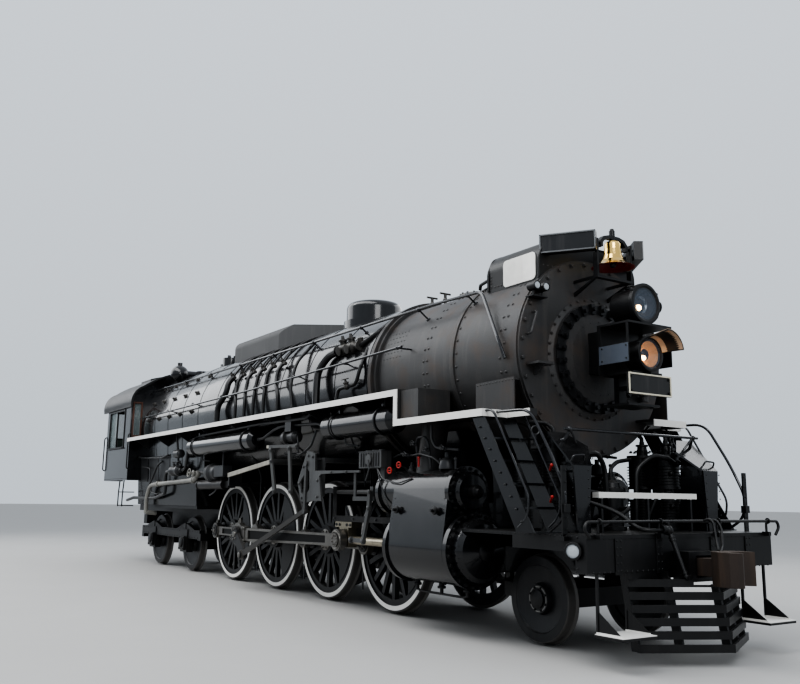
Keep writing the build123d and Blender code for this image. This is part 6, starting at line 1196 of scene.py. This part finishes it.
# Injector and its pipes below the firebox.
under.lathe((-3.95, 1.36, 2.06), (1, 0, 0), [(0, 0.06), (0.05, 0.06), (0.052, 0.10), (0.20, 0.105),
                                             (0.24, 0.085), (0.40, 0.085), (0.42, 0.11), (0.50, 0.11),
                                             (0.52, 0.06), (0.62, 0.05)], 24)
for x, z in ((-3.80, 2.15), (-3.60, 2.14), (-3.42, 2.16)):
    valve(under, (x, 1.36, z), (0, 0.2, 1), 0.036)
under.lathe((-3.62, 1.40, 2.40), (1, 0, 0), [(0, 0.05), (0.02, 0.085), (0.18, 0.09), (0.30, 0.085),
                                             (0.32, 0.05)], 24)
under.tube([(-3.98, 1.36, 2.06), (-4.30, 1.36, 2.05), (-4.42, 1.33, 1.92), (-4.46, 1.30, 1.60),
            (-5.2, 1.28, 1.50), (-6.9, 1.26, 1.50), (-7.6, 1.20, 1.44)], 0.035, 0.12)
under.tube([(-3.30, 1.36, 2.06), (-3.05, 1.38, 2.10), (-2.95, 1.40, 2.30), (-2.80, 1.42, 2.62),
            (-2.1, 1.42, 2.70), (0.6, 1.44, 2.74), (2.35, 1.44, 2.72), (2.46, 1.42, 2.80)], 0.028, 0.12)
under.tube([(-3.60, 1.34, 2.20), (-3.62, 1.38, 2.62), (-3.66, 1.40, 2.86)], 0.022, 0.06)
under.tube([(-4.9, 1.26, 2.30), (-5.0, 1.33, 2.22), (-5.3, 1.33, 1.95), (-5.7, 1.31, 1.70),
            (-5.76, 1.28, 1.45)], 0.020, 0.08)
under.tube([(-4.5, 1.27, 2.42), (-4.7, 1.33, 2.36), (-6.1, 1.33, 2.40), (-6.45, 1.32, 2.44)], 0.020, 0.06)
under.tube([(-5.1, 1.26, 1.58), (-5.45, 1.30, 1.62), (-5.55, 1.31, 1.86), (-5.62, 1.30, 2.16),
            (-6.2, 1.30, 2.20)], 0.016, 0.08)
for x0, x1 in ((-6.6, -6.0), (-5.9, -5.2), (-5.1, -4.45)):
    y_top, y_low = 1.246, 1.214
    under.slab(lambda t, a=y_top, b=y_low: [Vector((t, a + 0.010, 2.42)), Vector((t, b + 0.012, 1.86)),
                                            Vector((t, b - 0.02, 1.86)), Vector((t, a - 0.02, 2.42))], x0,
               x1)
    row(under, (x0 + 0.03, 1.256, 2.38), (x1 - 0.03, 1.256, 2.38), 8, (0, 1, 0), 0.009)
    row(under, (x0 + 0.03, 1.230, 1.90), (x1 - 0.03, 1.230, 1.90), 8, (0, 1, 0), 0.009)
# Round tank and box behind the last driving wheel.
under.lathe((-1.98, 1.30, 1.98), (1, 0, 0), [(0, 0.05), (0.04, 0.12), (0.16, 0.17), (0.30, 0.18),
                                             (0.34, 0.19), (0.36, 0.15), (0.52, 0.14), (0.56, 0.10),
                                             (0.64, 0.06)], 32)
under.box((-1.40, 1.24, 1.90), (-0.96, 1.42, 2.10))
row(under, (-1.36, 1.421, 2.08), (-1.0, 1.421, 2.08), 5, (0, 1, 0), 0.010)
under.rod((-1.18, 1.33, 2.10), (-1.18, 1.33, 2.33), 0.02)
under.tube([(-1.30, 1.30, 1.92), (-1.34, 1.33, 1.74), (-1.55, 1.33, 1.62), (-1.8, 1.33, 1.56)], 0.014, 0.06)
under.rod((-2.02, 1.30, 1.98), (-2.40, 1.30, 2.00), 0.030)
# Sand pipes in front of the driving wheels.
for x in DRIVER_XS[:3]:
    under.tube([(x - 0.88, 1.10, 2.80), (x - 0.90, 0.99, 2.40), (x - 0.925, 0.72, 1.95),
                (x - 0.925, 0.72, 0.52), (x - 0.90, 0.745, 0.24)], 0.015, 0.12, 8)
make("side_fittings", under, pipe_grey, bevel=0.0015)
delivery = Shape(both=True)
delivery.tube([(-5.77, 1.29, 1.16), (-5.76, 1.30, 1.48), (-5.52, 1.31, 1.76), (-5.25, 1.32, 1.79),
               (-2.66, 1.33, 1.86), (-2.52, 1.33, 1.93)], 0.046, 0.16, 14)
for x, z in ((-4.95, 1.798), (-2.78, 1.857)):
    delivery.rod((x, 1.325, z), (x + 0.09, 1.325, z + 0.002), 0.062)
valve(delivery, (-2.50, 1.33, 1.97), (0, 1, 0.15), 0.07)
delivery.rod((-5.77, 1.29, 1.18), (-5.77, 1.05, 1.16), 0.05)
make("delivery_pipes", delivery, pale_pipe, bevel=0.0015)

# Cab: window frames, gutters, roof ribs, rivets, steps and grab irons.
cab = Shape(both=True)
wood = Shape(both=True)
y = 1.559
frame_round(cab, (-8.24, -7.00), (2.70, 3.56), y, 0.035, 0.016)
cab.box((-7.625, 1.540, 2.70), (-7.595, 1.575, 3.56))
cab.box((-8.26, 1.555, 2.655), (-6.98, 1.612, 2.675))
row(cab, (-8.46, y, 3.62), (-6.54, y, 3.62), 34, (0, 1, 0), 0.010)
row(cab, (-8.46, y, 1.94), (-6.54, y, 1.94), 34, (0, 1, 0), 0.010)
for x in (-8.46, -6.54):
    row(cab, (x, y, 2.0), (x, y, 3.56), 26, (0, 1, 0), 0.010)
for x in (-8.55, -6.47):
    cab.tube([(x, 1.540, 2.15), (x, 1.600, 2.18), (x, 1.600, 2.96), (x, 1.540, 3.0)], 0.014, 0.04)
cab.tube([(-8.78, 1.592, 3.66), (-6.42, 1.592, 3.66)], 0.012)
for y0, y1 in ((1.300, 1.335), (1.490, 1.525)):
    wood.box((-6.502, y0, 2.90), (-6.480, y1, 3.74))
for z0, z1 in ((2.90, 2.95), (3.70, 3.74)):
    wood.box((-6.502, 1.335, z0), (-6.480, 1.490, z1))
for z in (1.62, 1.30):
    cab.box((-7.55, 1.16, z), (-7.20, 1.44, z + 0.02))
for x in (-7.55, -7.20):
    cab.tube([(x, 1.42, 1.92), (x, 1.44, 1.60), (x, 1.44, 1.29)], 0.014, 0.05)
cab.both = False
ROOF_HALF, ROOF_TOP, ROOF_EAVE = 1.58, 4.562, 3.70
roof_r = (ROOF_HALF ** 2 + (ROOF_TOP - ROOF_EAVE) ** 2) / (2 * (ROOF_TOP - ROOF_EAVE))
turns = [math.asin(ROOF_HALF / roof_r) * (k / 12 - 1) for k in range(25)]
for x in (-8.7, -8.1, -7.5, -6.9):
    cab.tube([(x, roof_r * math.sin(t), ROOF_TOP - roof_r + roof_r * math.cos(t) + 0.002) for t in turns],
             0.012, 0.01, 6)
make("cab_trim", cab, satin)
make("cab_window_frames", wood, timber, bevel=0.003)

# Bolts on the stairs' stringers and rivets on the shields.
stair = Shape(both=True)
for y in (0.93, 1.155):
    row(stair, (7.622, y, 1.30), (7.622, y, 1.84), 7, (1, 0, 0), 0.009)
row(stair, (6.66, 1.575, 2.30), (7.32, 1.575, 1.32), 9, (0, 1, 0), 0.012)
row(stair, (7.55, 1.1815, 1.30), (7.55, 1.1815, 1.82), 6, (0, 1, 0), 0.009)
make("stair_bolts", stair, satin)

# Camera at the photograph's angle.
CAMERA_AT = (13.941, -7.372, 1.519)
FOCAL_PX, PHOTO_WIDTH_PX, SENSOR_MM = 859.29, 800, 36.0
AZIMUTH, PITCH, ROLL = -56.80, 10.416, 0.688
cam = bpy.data.cameras.new("camera")
cam.sensor_width = SENSOR_MM
cam.sensor_fit = "HORIZONTAL"
cam.lens = FOCAL_PX / PHOTO_WIDTH_PX * SENSOR_MM
cam.clip_end = 500
cam_obj = bpy.data.objects.new("camera", cam)
bpy.context.scene.collection.objects.link(cam_obj)
azimuth, pitch, roll = (math.radians(d) for d in (AZIMUTH, PITCH, ROLL))
ahead = Vector((math.sin(azimuth) * math.cos(pitch), math.cos(azimuth) * math.cos(pitch), math.sin(pitch)))
right = ahead.cross(Vector((0, 0, 1))).normalized()
above = right.cross(ahead)
cam_x = right * math.cos(roll) + above * math.sin(roll)
cam_y = above * math.cos(roll) - right * math.sin(roll)
rows = [(cam_x[k], cam_y[k], -ahead[k], CAMERA_AT[k]) for k in range(3)]
cam_obj.matrix_world = Matrix((*rows, (0, 0, 0, 1)))
bpy.context.scene.camera = cam_obj

# Pale floor, soft light.
bpy.context.scene.view_settings.look = "AgX - High Contrast"
floor = bpy.data.meshes.new("floor")
FLOOR_HALF = 160
floor.from_pydata([(x * FLOOR_HALF, y * FLOOR_HALF, 0) for x, y in ((-1, -1), (1, -1), (1, 1), (-1, 1))], [],
                  [(0, 1, 2, 3)])
floor_obj = bpy.data.objects.new("floor", floor)
bpy.context.scene.collection.objects.link(floor_obj)
floor_paint, floor_tree, floor_bsdf = nodes_of("floor")
floor_spot = noise(floor_tree, floor_tree.nodes.new("ShaderNodeTexCoord").outputs["Object"], 0.6, 3.0)
floor_tree.links.new(mix_color(floor_tree, floor_spot, (0.385, 0.378, 0.366), (0.415, 0.408, 0.396)),
                     floor_bsdf.inputs["Base Color"])
floor_bsdf.inputs["Roughness"].default_value = 0.85
floor.materials.append(floor_paint)
world = bpy.data.worlds.new("studio")
bpy.context.scene.world = world
world.use_nodes = True
wt = world.node_tree
wt.nodes.clear()
w_out = wt.nodes.new("ShaderNodeOutputWorld")
w_bg = wt.nodes.new("ShaderNodeBackground")
w_bg.inputs["Strength"].default_value = 0.85
w_map = wt.nodes.new("ShaderNodeTexCoord")
w_sep = wt.nodes.new("ShaderNodeSeparateXYZ")
wt.links.new(w_map.outputs["Generated"], w_sep.inputs[0])
w_mix = mix_color(wt, ramp(wt, w_sep.outputs["Z"], -0.05, 0.9), (0.63, 0.685, 0.74), (0.88, 0.94, 1.02))
wt.links.new(w_mix, w_bg.inputs["Color"])
wt.links.new(w_bg.outputs[0], w_out.inputs[0])


def soft_light(name, at, target, size, power):
    light = bpy.data.lights.new(name, "AREA")
    light.shape = "RECTANGLE"
    light.size, light.size_y = size
    light.energy = power
    obj = bpy.data.objects.new(name, light)
    obj.location = at
    obj.rotation_euler = (Vector(target) - Vector(at)).to_track_quat("-Z", "Y").to_euler()
    obj.visible_camera = False
    bpy.context.scene.collection.objects.link(obj)


soft_light("over", (1, -7, 14), (0, 0, 2.5), (20, 7), 1500)
soft_light("front", (17, -5, 8), (6, 0, 2.5), (6, 5), 420)
soft_light("far_side", (0, 13, 10), (0, 0, 2.5), (18, 6), 500)
soft_light("behind", (-16, -9, 12), (0, 0, 2.0), (16, 14), 1050)
